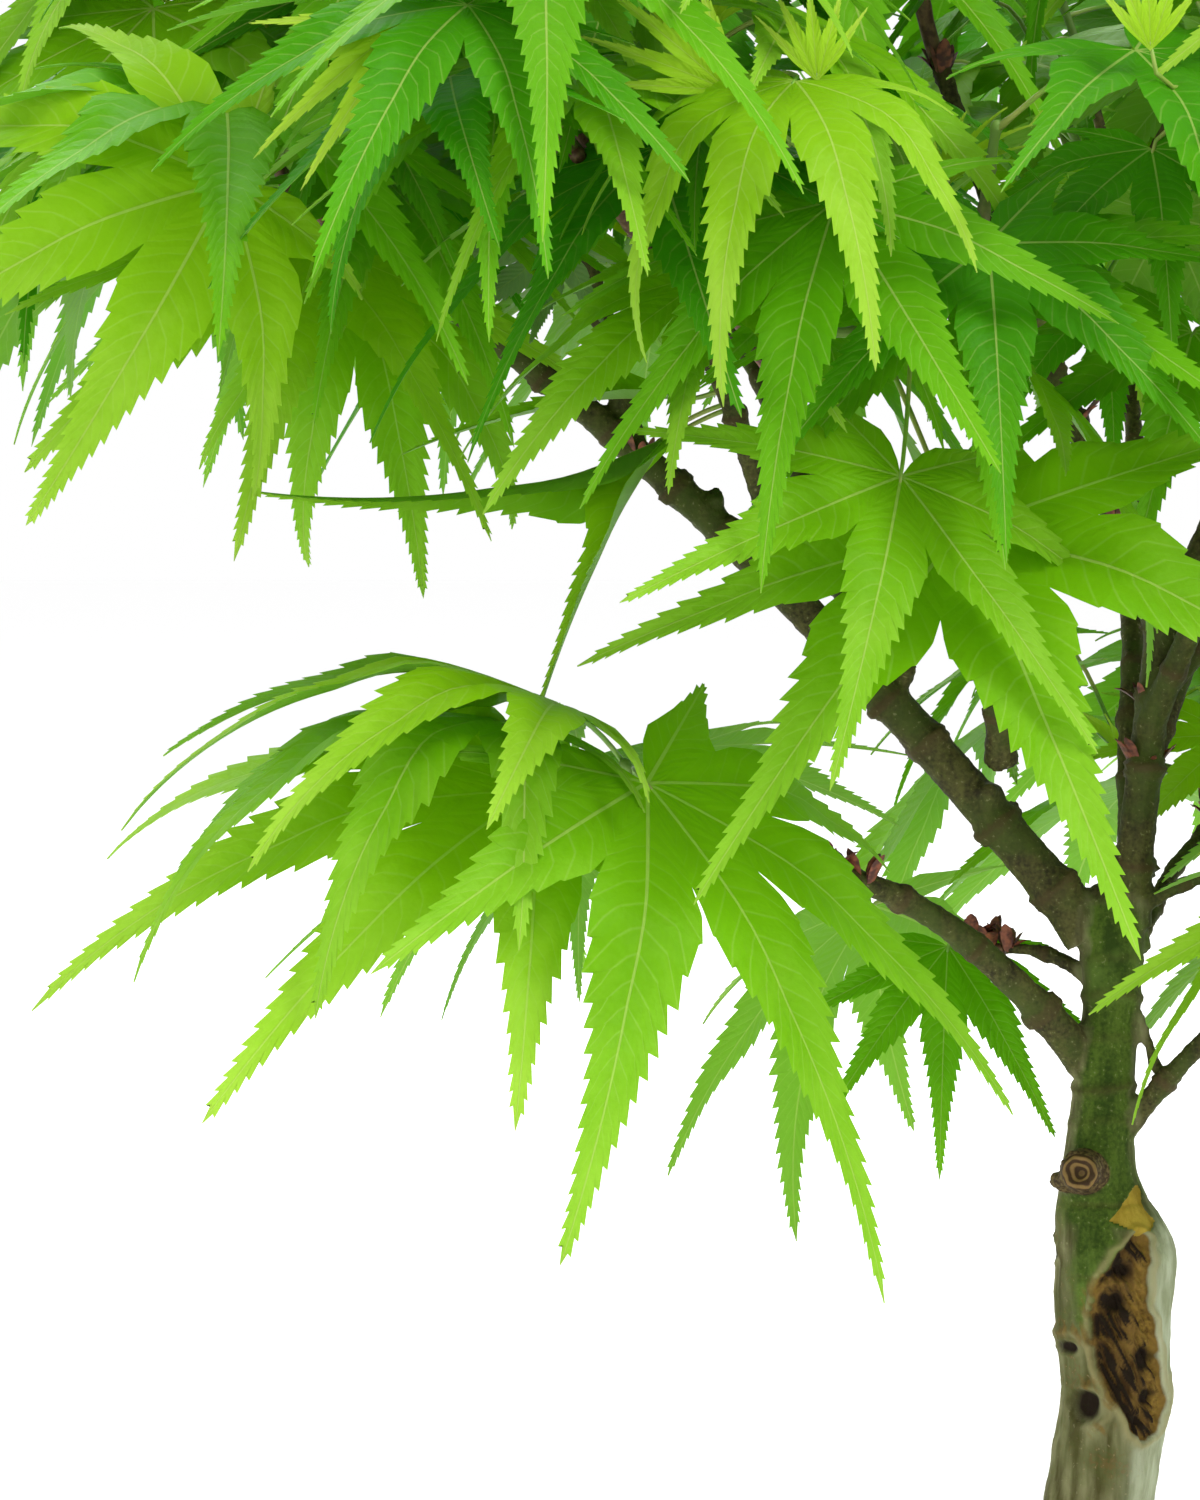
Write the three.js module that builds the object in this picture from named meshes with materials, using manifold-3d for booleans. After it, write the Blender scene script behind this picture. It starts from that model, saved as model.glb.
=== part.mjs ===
// A small japanese maple: a scarred trunk, tapering boughs and masses of seven-lobed leaves.
// Millimetres, +Z up, +X to the right and -Y to the front; the origin is at the middle of the ground cut.
import * as THREE from "three";
import { mergeVertices } from "three/addons/utils/BufferGeometryUtils.js";
import Module from "manifold-3d";

const wasm = await Module();
wasm.setup();

// Driving dimensions
const TRUNK_HEIGHT = 116.5;
const LEAF_LENGTH = 66; // foot of the blade to the tip of its middle lobe, on a full-grown leaf
const LEAF_THICKNESS = 1; // at the ribs; the rim is sharp
const PETIOLE_LENGTH = 20;
const PETIOLE_RADIUS = 0.5;
const TWIG_RADIUS = 1.1;
const CLEARANCE = 0.3; // between any two nodes

const BARK = { color: 0x6f6f55, roughness: 0.85, metalness: 0 };
const BOUGH_BARK = { color: 0x4d4632, roughness: 0.85, metalness: 0 };
const FOLIAGE = { color: 0x5fa81e, roughness: 0.5, metalness: 0 };

const rad = THREE.MathUtils.degToRad;
const vec = (x, y, z) => new THREE.Vector3(x, y, z);
const UP = vec(0, 0, 1);

// The seeded rule's one source of chance: the same keys always give the same share from 0 to 1.
function chance(mass, spray, leaf, salt) {
  const s = Math.sin(mass * 127.1 + spray * 311.7 + leaf * 74.7 + salt * 19.19 + 1.7) * 43758.5453;
  return s - Math.floor(s);
}
const jitter = (mass, spray, leaf, salt, most) => (2 * chance(mass, spray, leaf, salt) - 1) * most;

// The direction of a compass heading, in degrees from +X towards +Y, tipped down by a pitch.
function towards(heading, pitch = 0) {
  const level = Math.cos(rad(pitch));
  return vec(Math.cos(rad(heading)) * level, Math.sin(rad(heading)) * level, -Math.sin(rad(pitch)));
}

// A straight-line reading of a curve given by stations [place, value, ...].
function readAt(stations, place, column = 1) {
  const next = stations.findIndex((s) => s[0] >= place);
  if (next <= 0) return stations[next < 0 ? stations.length - 1 : 0][column];
  const [a, b] = [stations[next - 1], stations[next]];
  return a[column] + ((b[column] - a[column]) * (place - a[0])) / (b[0] - a[0]);
}

function solidOf(geometry) {
  const bare = geometry.clone();
  bare.deleteAttribute("normal");
  bare.deleteAttribute("uv");
  const merged = mergeVertices(bare, 1e-4);
  return new wasm.Manifold(
    new wasm.Mesh({
      numProp: 3,
      vertProperties: new Float32Array(merged.attributes.position.array),
      triVerts: new Uint32Array(merged.index.array),
    }),
  );
}

function geometryOf(solid) {
  const made = solid.getMesh();
  const geometry = new THREE.BufferGeometry();
  geometry.setAttribute("position", new THREE.BufferAttribute(new Float32Array(made.vertProperties), 3));
  geometry.setIndex(new THREE.BufferAttribute(new Uint32Array(made.triVerts), 1));
  geometry.computeVertexNormals();
  return geometry;
}

// The outer skin of a solid's largest body: a cut leaves no loose scrap, and a union no sealed hollow.
function outerSkin(solid) {
  const { triVerts, vertProperties } = solid.getMesh();
  const parent = Array.from({ length: vertProperties.length / 3 }, (_, v) => v);
  const root = (v) => {
    while (parent[v] !== v) v = parent[v] = parent[parent[v]];
    return v;
  };
  for (let i = 0; i < triVerts.length; i += 3)
    for (const k of [1, 2]) parent[root(triVerts[i])] = root(triVerts[i + k]);
  const point = (v) => new THREE.Vector3().fromArray(vertProperties, 3 * v);
  const skins = new Map();
  for (let i = 0; i < triVerts.length; i += 3) {
    const [a, b, c] = [triVerts[i], triVerts[i + 1], triVerts[i + 2]];
    const skin = skins.get(root(a)) ?? { volume: 0, faces: [] };
    skin.volume += point(a).dot(point(b).cross(point(c))) / 6;
    skin.faces.push(a, b, c);
    skins.set(root(a), skin);
  }
  const best = [...skins.values()].reduce((one, other) => (other.volume > one.volume ? other : one));
  return new wasm.Manifold(new wasm.Mesh({ numProp: 3, vertProperties, triVerts: new Uint32Array(best.faces) }));
}

// A closed tube whose rings are placed by ringAt(share along it) = { centre, side, rise, radius(angle) }.
function tube(ringAt, sides, rings) {
  const geometry = new THREE.CylinderGeometry(1, 1, 1, sides, rings);
  const places = geometry.attributes.position;
  for (let i = 0; i < places.count; i++) {
    const [x, y, z] = [places.getX(i), places.getY(i), places.getZ(i)];
    const ring = ringAt(y + 0.5);
    const angle = Math.atan2(z, x);
    const out = Math.hypot(x, z) > 0.5 ? ring.radius(angle) : 0;
    const point = ring.centre
      .clone()
      .addScaledVector(ring.side, Math.cos(angle) * out)
      .addScaledVector(ring.rise, Math.sin(angle) * out);
    places.setXYZ(i, point.x, point.y, point.z);
  }
  const solid = solidOf(geometry);
  return solid.volume() > 0 ? solid : solidOf(flipped(geometry));
}

function flipped(geometry) {
  const turned = geometry.clone();
  const index = turned.index.array;
  for (let i = 0; i < index.length; i += 3) [index[i + 1], index[i + 2]] = [index[i + 2], index[i + 1]];
  return turned;
}

// Trunk: height, lean along X and radius, from the flared foot to the swelling under the fork
const TRUNK = [
  [0, 0, 12.6],
  [4, 0.4, 10.9],
  [10, 1.3, 9.4],
  [21.5, 2.8, 8.5],
  [37, 5.4, 8.4],
  [52, 4.9, 8.9],
  [58, 4.8, 9.1],
  [65, 3.2, 7.4],
  [71, 2.5, 5.9],
  [81.5, 2.9, 4.8],
  [98.5, 4.5, 4.4],
  [108, 4.2, 5.1],
  [113, 4.1, 4.9],
  [TRUNK_HEIGHT, 4.1, 2.4],
];
const ROOTS = 5;
const ROOT_FLARE = { out: 3.2, height: 9 };
// Swellings and hollows of the trunk: height, side it faces, how far out, half-height, half-width in degrees
const RELIEF = {
  shoulder: [60, -8, 1.5, 7, 42],
  prunedStub: [72.3, 232, 2.6, 3.4, 34],
  lowEye: [36.5, 250, 1.1, 4, 22],
  woundTop: [55, 292, -1.3, 6, 20],
  woundFoot: [40, 300, -1.6, 9, 22],
  leftRidge: [48, 190, 0.8, 10, 22],
  ringScar: [86, 300, 0.9, 1.8, 60],
};

function trunkRadius(height, angle) {
  const turn = THREE.MathUtils.radToDeg(angle);
  let radius = readAt(TRUNK, height, 2);
  const flare = ROOT_FLARE.out * Math.exp(-height / ROOT_FLARE.height);
  radius += flare * Math.cos(ROOTS * angle + 0.6);
  for (const [at, facing, out, tall, wide] of Object.values(RELIEF)) {
    const across = ((turn - facing + 540) % 360) - 180;
    radius += out * Math.exp(-(((height - at) / tall) ** 2) - (across / wide) ** 2);
  }
  return radius;
}

function trunk(grow) {
  return tube(
    (share) => {
      const height = share * TRUNK_HEIGHT;
      return {
        centre: vec(readAt(TRUNK, height), 0, share > 0 ? height + (share === 1 ? grow : 0) : 0),
        side: vec(1, 0, 0),
        rise: vec(0, 1, 0),
        radius: (angle) => trunkRadius(height, angle) + grow,
      };
    },
    18,
    26,
  );
}

// Boughs: foot, heading, how far they reach and rise, the arch of their line, and their radii
const BOUGHS = {
  left_bough: { foot: [1, 0, 109], heading: 181, reach: 112, rise: 106, arch: 8, radii: [3.6, 1.7] },
  leader: { foot: [6.5, 0, 110], heading: 0, reach: 5.5, rise: 49, arch: 0, radii: [3.1, 2.4] },
  top_left_bough: { foot: [11.5, 0, 157], heading: 165, reach: 36, rise: 88, arch: -3, radii: [2.3, 1.3] },
  top_right_bough: { foot: [11.8, 0, 154], heading: 25, reach: 46, rise: 78, arch: 5, radii: [2.2, 1.3] },
  low_left_bough: { foot: [0.5, -1, 89], heading: 205, reach: 54, rise: 33, arch: 7, radii: [2.7, 1.4] },
  low_right_bough: { foot: [6, -1, 78], heading: -18, reach: 52, rise: 34, arch: 9, radii: [1.6, 1.1] },
  right_bough: { foot: [11, 0, 146], heading: -6, reach: 72, rise: 56, arch: 6, radii: [2, 1.2] },
  back_bough: { foot: [7.5, 2, 106], heading: 85, reach: 74, rise: 94, arch: 10, radii: [2.4, 1.3] },
  low_back_bough: { foot: [3.5, 2, 94], heading: 60, reach: 42, rise: 30, arch: 4, radii: [1.8, 1.1] },
  inner_bough: { foot: [3, 2, 100], heading: 148, reach: 17, rise: 5, arch: 2, radii: [1.3, 0.9] },
  front_bough: { foot: [-13, -1, 135], heading: 262, reach: 40, rise: 56, arch: 6, radii: [2.1, 1.2] },
  front_right_bough: { foot: [9.5, -1, 140], heading: -52, reach: 56, rise: 72, arch: 8, radii: [2, 1.2] },
  front_left_bough: { foot: [-47, -1, 167], heading: 240, reach: 44, rise: 48, arch: 6, radii: [1.9, 1.1] },
  left_riser: { foot: [-70, 0, 185], heading: 190, reach: 12, rise: 50, arch: 0, radii: [1.9, 1.2] },
  middle_left_bough: { foot: [-31, 1, 151], heading: 140, reach: 24, rise: 46, arch: 4, radii: [1.7, 1.1] },
  back_left_bough: { foot: [-34, 1, 154], heading: 125, reach: 66, rise: 78, arch: 8, radii: [2.1, 1.2] },
  back_right_bough: { foot: [8.5, 2, 132], heading: 48, reach: 70, rise: 82, arch: 8, radii: [2.1, 1.2] },
};

// A limb's centreline, as a share t from 0 at its foot to 1 at its tip.
function limbPoint(limb, t) {
  return vec(...limb.foot)
    .addScaledVector(towards(limb.heading), limb.reach * t)
    .addScaledVector(UP, limb.rise * t + limb.arch * Math.sin(Math.PI * t));
}

function limbDirection(limb, t) {
  return towards(limb.heading)
    .multiplyScalar(limb.reach)
    .addScaledVector(UP, limb.rise + limb.arch * Math.PI * Math.cos(Math.PI * t))
    .normalize();
}

function limb(spec, grow) {
  const across = towards(spec.heading + 90);
  const [thick, thin] = spec.radii;
  return tube(
    (share) => {
      const along = limbDirection(spec, share);
      const centre = limbPoint(spec, share).addScaledVector(along, share === 1 ? grow : 0);
      const collar = 0.35 * thick * Math.exp(-share * 14);
      const radius = THREE.MathUtils.lerp(thick, thin, share) + collar + grow;
      return { centre, side: across, rise: across.clone().cross(along).negate(), radius: () => radius };
    },
    7,
    5,
  );
}

// A seven-lobed leaf: where each lobe points in the blade's plane, and its length as a share of the leaf's
const LOBES = [-115, -74, -37, 0, 37, 74, 115].map((angle) => ({
  angle: rad(angle),
  long: { 0: 1, 37: 0.93, 74: 0.74, 115: 0.42 }[Math.abs(angle)],
  wide: { 0: 0.105, 37: 0.105, 74: 0.09, 115: 0.05 }[Math.abs(angle)],
}));
const SINUS = 0.24; // how far out the gap between two lobes begins
const OUTER_SINUS = 0.2; // the same beside the small lobes at the petiole
const SHOULDER = 0.42; // where along a lobe it is widest
const FOLD = 0.22; // rise of a lobe's edges above its rib, as a share of the way across

// A point of a drooping blade in its own frame: s along lobe i and t across it are shares of the leaf.
function bladePoint(leaf, i, s, t) {
  const angle = LOBES[i].angle * leaf.spread;
  const [far, round] = [Math.hypot(s, t), angle + Math.atan2(t, s)];
  const common = leaf.bends[3] * 0.6;
  const own = leaf.bends[i];
  const level = Math.sin(common * far) / common;
  const palm = vec(level * Math.cos(round), level * Math.sin(round), -(1 - Math.cos(common * far)) / common);
  const out = Math.sin(own * s) / own;
  const [c, d] = [Math.cos(angle), Math.sin(angle)];
  const finger = vec(out * c - t * d, out * d + t * c, -(1 - Math.cos(own * s)) / own);
  const loose = THREE.MathUtils.smoothstep(s, SINUS, SINUS + 0.25);
  return palm.lerp(finger, loose).add(vec(0, 0, FOLD * Math.abs(t))).multiplyScalar(leaf.length);
}

// A leaf's frame: it points along forward and its upper face looks towards facing.
function leafFrame(base, forward, facing) {
  const ahead = forward.clone().normalize();
  const normal = facing.clone().addScaledVector(ahead, -facing.dot(ahead)).normalize();
  return new THREE.Matrix4().makeBasis(ahead, normal.clone().cross(ahead), normal).setPosition(base);
}

// A leaf as one thin closed solid: a lens with a sharp rim and a ridge of LEAF_THICKNESS along the ribs, and
// behind it the four-sided petiole, down to the place on the twig where it is sunk in. Without that place it is
// the blade alone.
function leafSolid(leaf, node = null) {
  const points = [];
  const add = (p, lift = 0) => points.push(p.clone().add(vec(0, 0, lift))) - 1;
  const half = LEAF_THICKNESS / 2;
  const [top, under] = [add(vec(0, 0, 0), half), add(vec(0, 0, 0), -half)];
  const [notchRight, notchLeft] = [-1, 1].map((side) => add(vec(-2, side * PETIOLE_RADIUS * 1.2, 0)));
  const gaps = LOBES.slice(1).map((lobe, i) => {
    const apart = ((lobe.angle - LOBES[i].angle) / 2) * leaf.spread;
    const far = i === 0 || i === LOBES.length - 2 ? OUTER_SINUS : SINUS;
    return add(bladePoint(leaf, i, far * Math.cos(apart), far * Math.sin(apart)));
  });
  const upper = [];
  const below = new Map([[top, under]]);
  LOBES.forEach((lobe, i) => {
    const [before, after] = [i ? gaps[i - 1] : notchRight, i < gaps.length ? gaps[i] : notchLeft];
    const tip = add(bladePoint(leaf, i, lobe.long, 0));
    if (i === 0 || i === LOBES.length - 1) {
      upper.push([top, before, tip], [top, tip, after]);
      return;
    }
    const at = SHOULDER * lobe.long;
    const rib = add(bladePoint(leaf, i, at, 0), half);
    below.set(rib, add(bladePoint(leaf, i, at, 0), -half));
    const [right, left] = [-1, 1].map((side) => add(bladePoint(leaf, i, at, side * lobe.wide)));
    upper.push([top, before, rib], [before, right, rib], [right, tip, rib]);
    upper.push([tip, left, rib], [left, after, rib], [after, top, rib]);
  });
  const lower = upper.map(([a, b, c]) => [a, c, b].map((v) => below.get(v) ?? v));
  const faces = [...upper, ...lower];
  let ring = [top, notchLeft, under, notchRight];
  if (node) {
    const foot = node.clone().applyMatrix4(leaf.frame.clone().invert());
    const side = vec(0, 0.65 * PETIOLE_RADIUS, 0);
    const rise = vec(-foot.z, 0, foot.x).setLength(-0.65 * PETIOLE_RADIUS);
    const outs = [rise, side, rise.clone().negate(), side.clone().negate()];
    const end = outs.map((out) => add(foot.clone().add(out)));
    ring.forEach((near, k) => {
      const [next, far, beyond] = [ring[(k + 1) % 4], end[k], end[(k + 1) % 4]];
      faces.push([near, next, far], [next, beyond, far]);
    });
    ring = end;
  }
  faces.push([ring[0], ring[1], ring[2]], [ring[0], ring[2], ring[3]]);
  const geometry = new THREE.BufferGeometry().setFromPoints(points);
  geometry.setIndex(faces.flat());
  geometry.applyMatrix4(leaf.frame);
  return solidOf(geometry);
}

const bend = (from, control, to) => new THREE.QuadraticBezierCurve3(from, control, to);

// A stem of three sides along a curve; its ends are square to its line.
function stem(curve, radii, rings) {
  const across = curve.v2.clone().sub(curve.v0).cross(vec(0.31, 0.17, 1)).normalize();
  return tube(
    (share) => {
      const along = curve.getTangent(share);
      const side = across.clone().addScaledVector(along, -across.dot(along)).normalize();
      const radius = THREE.MathUtils.lerp(radii[0], radii[1], share);
      return { centre: curve.getPoint(share), side, rise: along.clone().cross(side), radius: () => radius };
    },
    3,
    rings,
  );
}

// The masses of foliage: the bough that carries each, the middle of its pad of sprays, the pad's half-widths
// and height, how many sprays it has, and how far their leaves hang
const MASSES = {
  low_left_mass: {
    bough: "low_left_bough",
    heart: [-73, -46, 131],
    pad: [20, 24, 9],
    sprays: 4,
    hang: 16,
    space: [60, 70, 75],
  },
  far_left_mass: { bough: "left_bough", heart: [-127, -6, 226], pad: [18, 40, 20], sprays: 5, hang: 24 },
  left_top_mass: { bough: "left_riser", heart: [-92, -6, 262], pad: [40, 40, 15], sprays: 5, hang: 18 },
  front_left_mass: { bough: "front_left_bough", heart: [-78, -62, 232], pad: [32, 24, 16], sprays: 5, hang: 20 },
  middle_left_mass: { bough: "middle_left_bough", heart: [-56, 20, 214], pad: [24, 22, 14], sprays: 4, hang: 20 },
  front_mass: { bough: "front_bough", heart: [-24, -66, 212], pad: [26, 20, 24], sprays: 5, hang: 26 },
  crown_top_mass: { bough: "top_left_bough", heart: [-18, 2, 304], pad: [50, 48, 12], sprays: 6, hang: 12 },
  top_right_mass: { bough: "top_right_bough", heart: [62, 14, 280], pad: [44, 42, 16], sprays: 5, hang: 16 },
  right_mass: { bough: "right_bough", heart: [104, -6, 222], pad: [30, 42, 20], sprays: 5, hang: 22 },
  low_right_mass: { bough: "low_right_bough", heart: [74, -26, 128], pad: [24, 26, 8], sprays: 4, hang: 16 },
  front_right_mass: { bough: "front_right_bough", heart: [52, -70, 236], pad: [34, 28, 20], sprays: 5, hang: 22 },
  back_mass: { bough: "back_bough", heart: [12, 98, 240], pad: [36, 30, 22], sprays: 5, hang: 20 },
  back_left_mass: { bough: "back_left_bough", heart: [-78, 72, 258], pad: [34, 32, 18], sprays: 5, hang: 16 },
  back_right_mass: { bough: "back_right_bough", heart: [72, 80, 246], pad: [34, 32, 22], sprays: 5, hang: 20 },
  low_back_mass: { bough: "low_back_bough", heart: [32, 52, 134], pad: [24, 22, 8], sprays: 3, hang: 16 },
  inner_mass: { bough: "inner_bough", heart: [-19, 16, 108], pad: [4, 4, 2], sprays: 1, hang: 30 },
};
const GOLDEN_ANGLE = 137.5;
// Leaves of a spray: how far each points from the spray's own heading, how steeply its petiole rises, its
// size and how far back from the twig's tip it grows
const SLOTS = [
  { turn: 54, rise: 30, size: 1, back: 1.2 },
  { turn: -60, rise: 8, size: 1.04, back: 3.4 },
  { turn: 4, rise: 52, size: 0.74, back: 0.6 },
  { turn: 122, rise: -6, size: 1.06, back: 8 },
  { turn: -128, rise: 12, size: 0.96, back: 10.2 },
];
const TRIES = 11;

// Leaves set by hand where they show most, by the mass that bears them: the foot of the blade, the tip of its
// middle lobe, the way it faces, how far it bends, the number of its lobes' own curls, and how far they spread
const SET_LEAVES = {
  low_left_mass: [
    { foot: [-68, -69, 137], tip: [-35, -90, 66], face: [0.29, -0.42, 0.86], bend: 0.68, curl: 19, spread: 1.05 },
    { foot: [-84, -58, 135], tip: [-156, -64, 104], face: [-0.49, -0.59, 0.64], bend: 0.99, curl: 48, spread: 1 },
    { foot: [-89, -57, 145], tip: [-140, -81, 110], face: [0, -0.04, 1], bend: 1.4, curl: 26, spread: 1 },
    { foot: [-81, -64, 148], tip: [-142, -77, 131], face: [0, -0.03, 1], bend: 1.3, curl: 39, spread: 1 },
  ],
  front_mass: [
    { foot: [-20, -67, 213], tip: [-20, -110, 169], face: [-0.31, -0.79, 0.53], bend: 0.34, curl: 55, spread: 1.03 },
    { foot: [-33, -88, 181], tip: [-44, -121, 140], face: [0.08, -1, 0], bend: 0.39, curl: 49, spread: 1.15 },
    { foot: [-24, -77, 173], tip: [-3, -127, 118], face: [-0.12, -0.79, 0.61], bend: 0.4, curl: 21, spread: 1.3 },
    { foot: [-42, -88, 219], tip: [-53, -113, 166], face: [-0.4, -0.9, 0.2], bend: 0.5, curl: 51, spread: 1 },
  ],
  front_left_mass: [
    { foot: [-48, -96, 235], tip: [-58, -111, 191], face: [-0.16, -0.54, 0.83], bend: 1.7, curl: 38, spread: 1 },
  ],
  far_left_mass: [
    { foot: [-127, -71, 222], tip: [-177, -55, 196], face: [0.05, -0.95, 0.3], bend: 1.6, curl: 4, spread: 1.15 },
    { foot: [-111, 10, 207], tip: [-102, 9, 160], face: [0, -0.8, 0.6], bend: 1.6, curl: 11, spread: 0.95 },
  ],
  inner_mass: [
    { foot: [-20, 16, 105], tip: [-22, 2, 70], face: [-0.1, -1, 0.3], bend: 0.6, curl: 44, spread: 0.85 },
  ],
};

// What has been placed so far. A new piece keeps clear of other nodes, and a blade of its own mass's blades.
const placed = [];
function keep(solid, node, kind) {
  placed.push({ solid, node, kind, box: solid.boundingBox() });
}
function nearBoxes(a, b) {
  return [0, 1, 2].every((k) => a.min[k] < b.max[k] + 1 && b.min[k] < a.max[k] + 1);
}
function isClear(solid, node, kind, kinToo = true) {
  const box = solid.boundingBox();
  return placed.every((other) => {
    const kin = other.node === node;
    const free = kin ? !kinToo || (kind !== "blade" && other.kind !== "blade") : other.kind === "blade";
    return free || !nearBoxes(box, other.box) || solid.minGap(other.solid, 1) > CLEARANCE + 0.05;
  });
}

function roundAxis(direction, axis, degrees) {
  return direction.clone().applyAxisAngle(axis, rad(degrees));
}

// The curls of a leaf's seven lobes, in radians from foot to tip.
function lobeBends(bend, keys) {
  return LOBES.map((_, i) => Math.max(0.15, bend + jitter(...keys, 20 + i, 0.3)));
}

// Leaf number j of a spray, on its given try: each try turns and tips it a little more.
function ruledLeaf(massNumber, mass, spray, j, attempt) {
  const keys = [massNumber, spray.number, j];
  const slot = SLOTS[j];
  const swing = 11 * Math.ceil(attempt / 2) * (attempt % 2 ? -1 : 1) * (chance(...keys, 1) < 0.5 ? 1 : -1);
  const heading = spray.heading + slot.turn + jitter(...keys, 2, 12) + swing;
  const pitch = mass.hang + jitter(...keys, 3, 9) + 7 * (attempt % 3);
  const length = LEAF_LENGTH * slot.size * (0.86 + 0.24 * chance(...keys, 4)) * (1 - 0.03 * attempt);
  const petiole = towards(heading, jitter(...keys, 7, 8) - slot.rise);
  const node = spray.point.clone().add(spray.back.clone().clampLength(0, slot.back));
  const petioleLength = PETIOLE_LENGTH * (0.8 + 0.5 * chance(...keys, 5 + attempt));
  const base = node.clone().addScaledVector(petiole, petioleLength);
  const forward = towards(heading, pitch);
  const facing = roundAxis(UP, forward, jitter(...keys, 6, 16));
  const frame = leafFrame(base, forward, facing);
  return { spray, node, base, length, bends: lobeBends(0.65, keys), spread: 1, frame };
}

// A leaf set by hand: it starts out towards its face and curls back to its tip.
function setLeaf(spec, number, sprays) {
  const [base, tip] = [vec(...spec.foot), vec(...spec.tip)];
  const chord = tip.clone().sub(base);
  const length = (chord.length() * (spec.bend / 2)) / Math.sin(spec.bend / 2);
  const facing = vec(...spec.face);
  const flat = leafFrame(base, chord, facing);
  const side = new THREE.Vector3().setFromMatrixColumn(flat, 1);
  const forward = roundAxis(chord.normalize(), side, -THREE.MathUtils.radToDeg(spec.bend / 2));
  const spray = sprays.reduce((a, b) => (b.point.distanceTo(base) < a.point.distanceTo(base) ? b : a));
  const node = spray.point.clone().add(spray.back.clone().clampLength(0, 5 + number));
  const bends = lobeBends(spec.bend, [90, spec.curl, 0]);
  bends[3] = spec.bend;
  return { spray, node, base, length, bends, spread: spec.spread, frame: leafFrame(base, forward, facing) };
}

// A blade stays in its mass's space: a block round its heart that is its own or, where it has none, its pad
// grown by a leaf and its petiole. It also stays off the ground.
function inSpace(mass, solid) {
  const space = mass.space ?? mass.pad.map((half) => half + LEAF_LENGTH * 1.2 + PETIOLE_LENGTH);
  const { min, max } = solid.boundingBox();
  return min[2] > 0 && mass.heart.every((at, k) => min[k] > at - space[k] && max[k] < at + space[k]);
}

// The sprays of a mass: a dome of points round its heart, each reached by a twig from the mass's stem.
function sprayOf(massNumber, mass, k) {
  const keys = [massNumber, k, 0];
  const heart = vec(...mass.heart);
  const share = Math.sqrt((k + 0.35) / mass.sprays);
  const round = rad(GOLDEN_ANGLE * k + 360 * chance(massNumber, 0, 0, 9));
  const offset = vec(Math.cos(round) * mass.pad[0] * share, Math.sin(round) * mass.pad[1] * share, 0);
  const dome = mass.pad[2] * (0.8 - 1.5 * share * share) + jitter(...keys, 10, 3);
  const point = heart.clone().add(offset).add(vec(0, 0, dome));
  const outward = offset.clone().multiplyScalar(1.2).add(vec(heart.x, heart.y, 0).multiplyScalar(0.35));
  return { point, share, heading: THREE.MathUtils.radToDeg(Math.atan2(outward.y, outward.x)) };
}

function growMass(name, mass, massNumber) {
  const bough = BOUGHS[mass.bough];
  const along = limbDirection(bough, 1);
  const foot = limbPoint(bough, 1).addScaledVector(along, CLEARANCE);
  const heart = vec(...mass.heart).add(vec(0, 0, -0.35 * mass.pad[2]));
  const control = foot.clone().addScaledVector(along, 0.4 * foot.distanceTo(heart));
  const line = bend(foot, control, heart);
  const parts = [stem(line, [bough.radii[1] * 0.95, TWIG_RADIUS * 1.3], 3)];
  keep(parts[0], name, "twig");
  const sprays = [];
  for (let k = 0; k < mass.sprays; k++) {
    const spray = sprayOf(massNumber, mass, k);
    const start = line.getPoint([1, 2 / 3, 1 / 3][Math.min(2, Math.round(2.4 * spray.share))]);
    const bow = start.clone().lerp(spray.point, 0.5).add(vec(0, 0, 0.15 * spray.point.distanceTo(start)));
    const curve = bend(start, bow, spray.point);
    const twig = stem(curve, [TWIG_RADIUS * 1.15, TWIG_RADIUS * 0.9], 2);
    if (!isClear(twig, name, "twig")) continue;
    keep(twig, name, "twig");
    const back = curve.getPoint(0.5).sub(spray.point);
    sprays.push({ ...spray, back, twig, number: k });
  }
  return { name, mass, massNumber, sprays, parts };
}

function addLeaf(grown, leaf, kinToo = true) {
  const blade = leafSolid(leaf);
  const whole = leafSolid(leaf, leaf.node);
  if ((kinToo && !inSpace(grown.mass, blade)) || !isClear(blade, grown.name, "blade", kinToo)) return false;
  if (!isClear(whole, grown.name, "leaf", kinToo)) return false;
  keep(blade, grown.name, "blade");
  keep(whole, grown.name, "leaf");
  grown.parts.push(whole, ...(leaf.spray.leafy ? [] : [leaf.spray.twig]));
  leaf.spray.leafy = true;
  return true;
}

const tree = new THREE.Group();
function addNode(name, solid, look) {
  const mesh = new THREE.Mesh(geometryOf(solid), new THREE.MeshStandardMaterial(look));
  mesh.name = name;
  tree.add(mesh);
}

// The trunk first, then each limb cut clear of what it grows from
const cutters = [trunk(CLEARANCE)];
const trunkSolid = trunk(0);
addNode("trunk", trunkSolid, BARK);
keep(trunkSolid, "trunk", "limb");
for (const [name, spec] of Object.entries(BOUGHS)) {
  const clear = cutters.reduce((solid, cutter) => solid.subtract(cutter), limb(spec, 0));
  const made = outerSkin(clear);
  addNode(name, made, BOUGH_BARK);
  keep(made, name, "limb");
  cutters.push(limb(spec, CLEARANCE));
}

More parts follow.
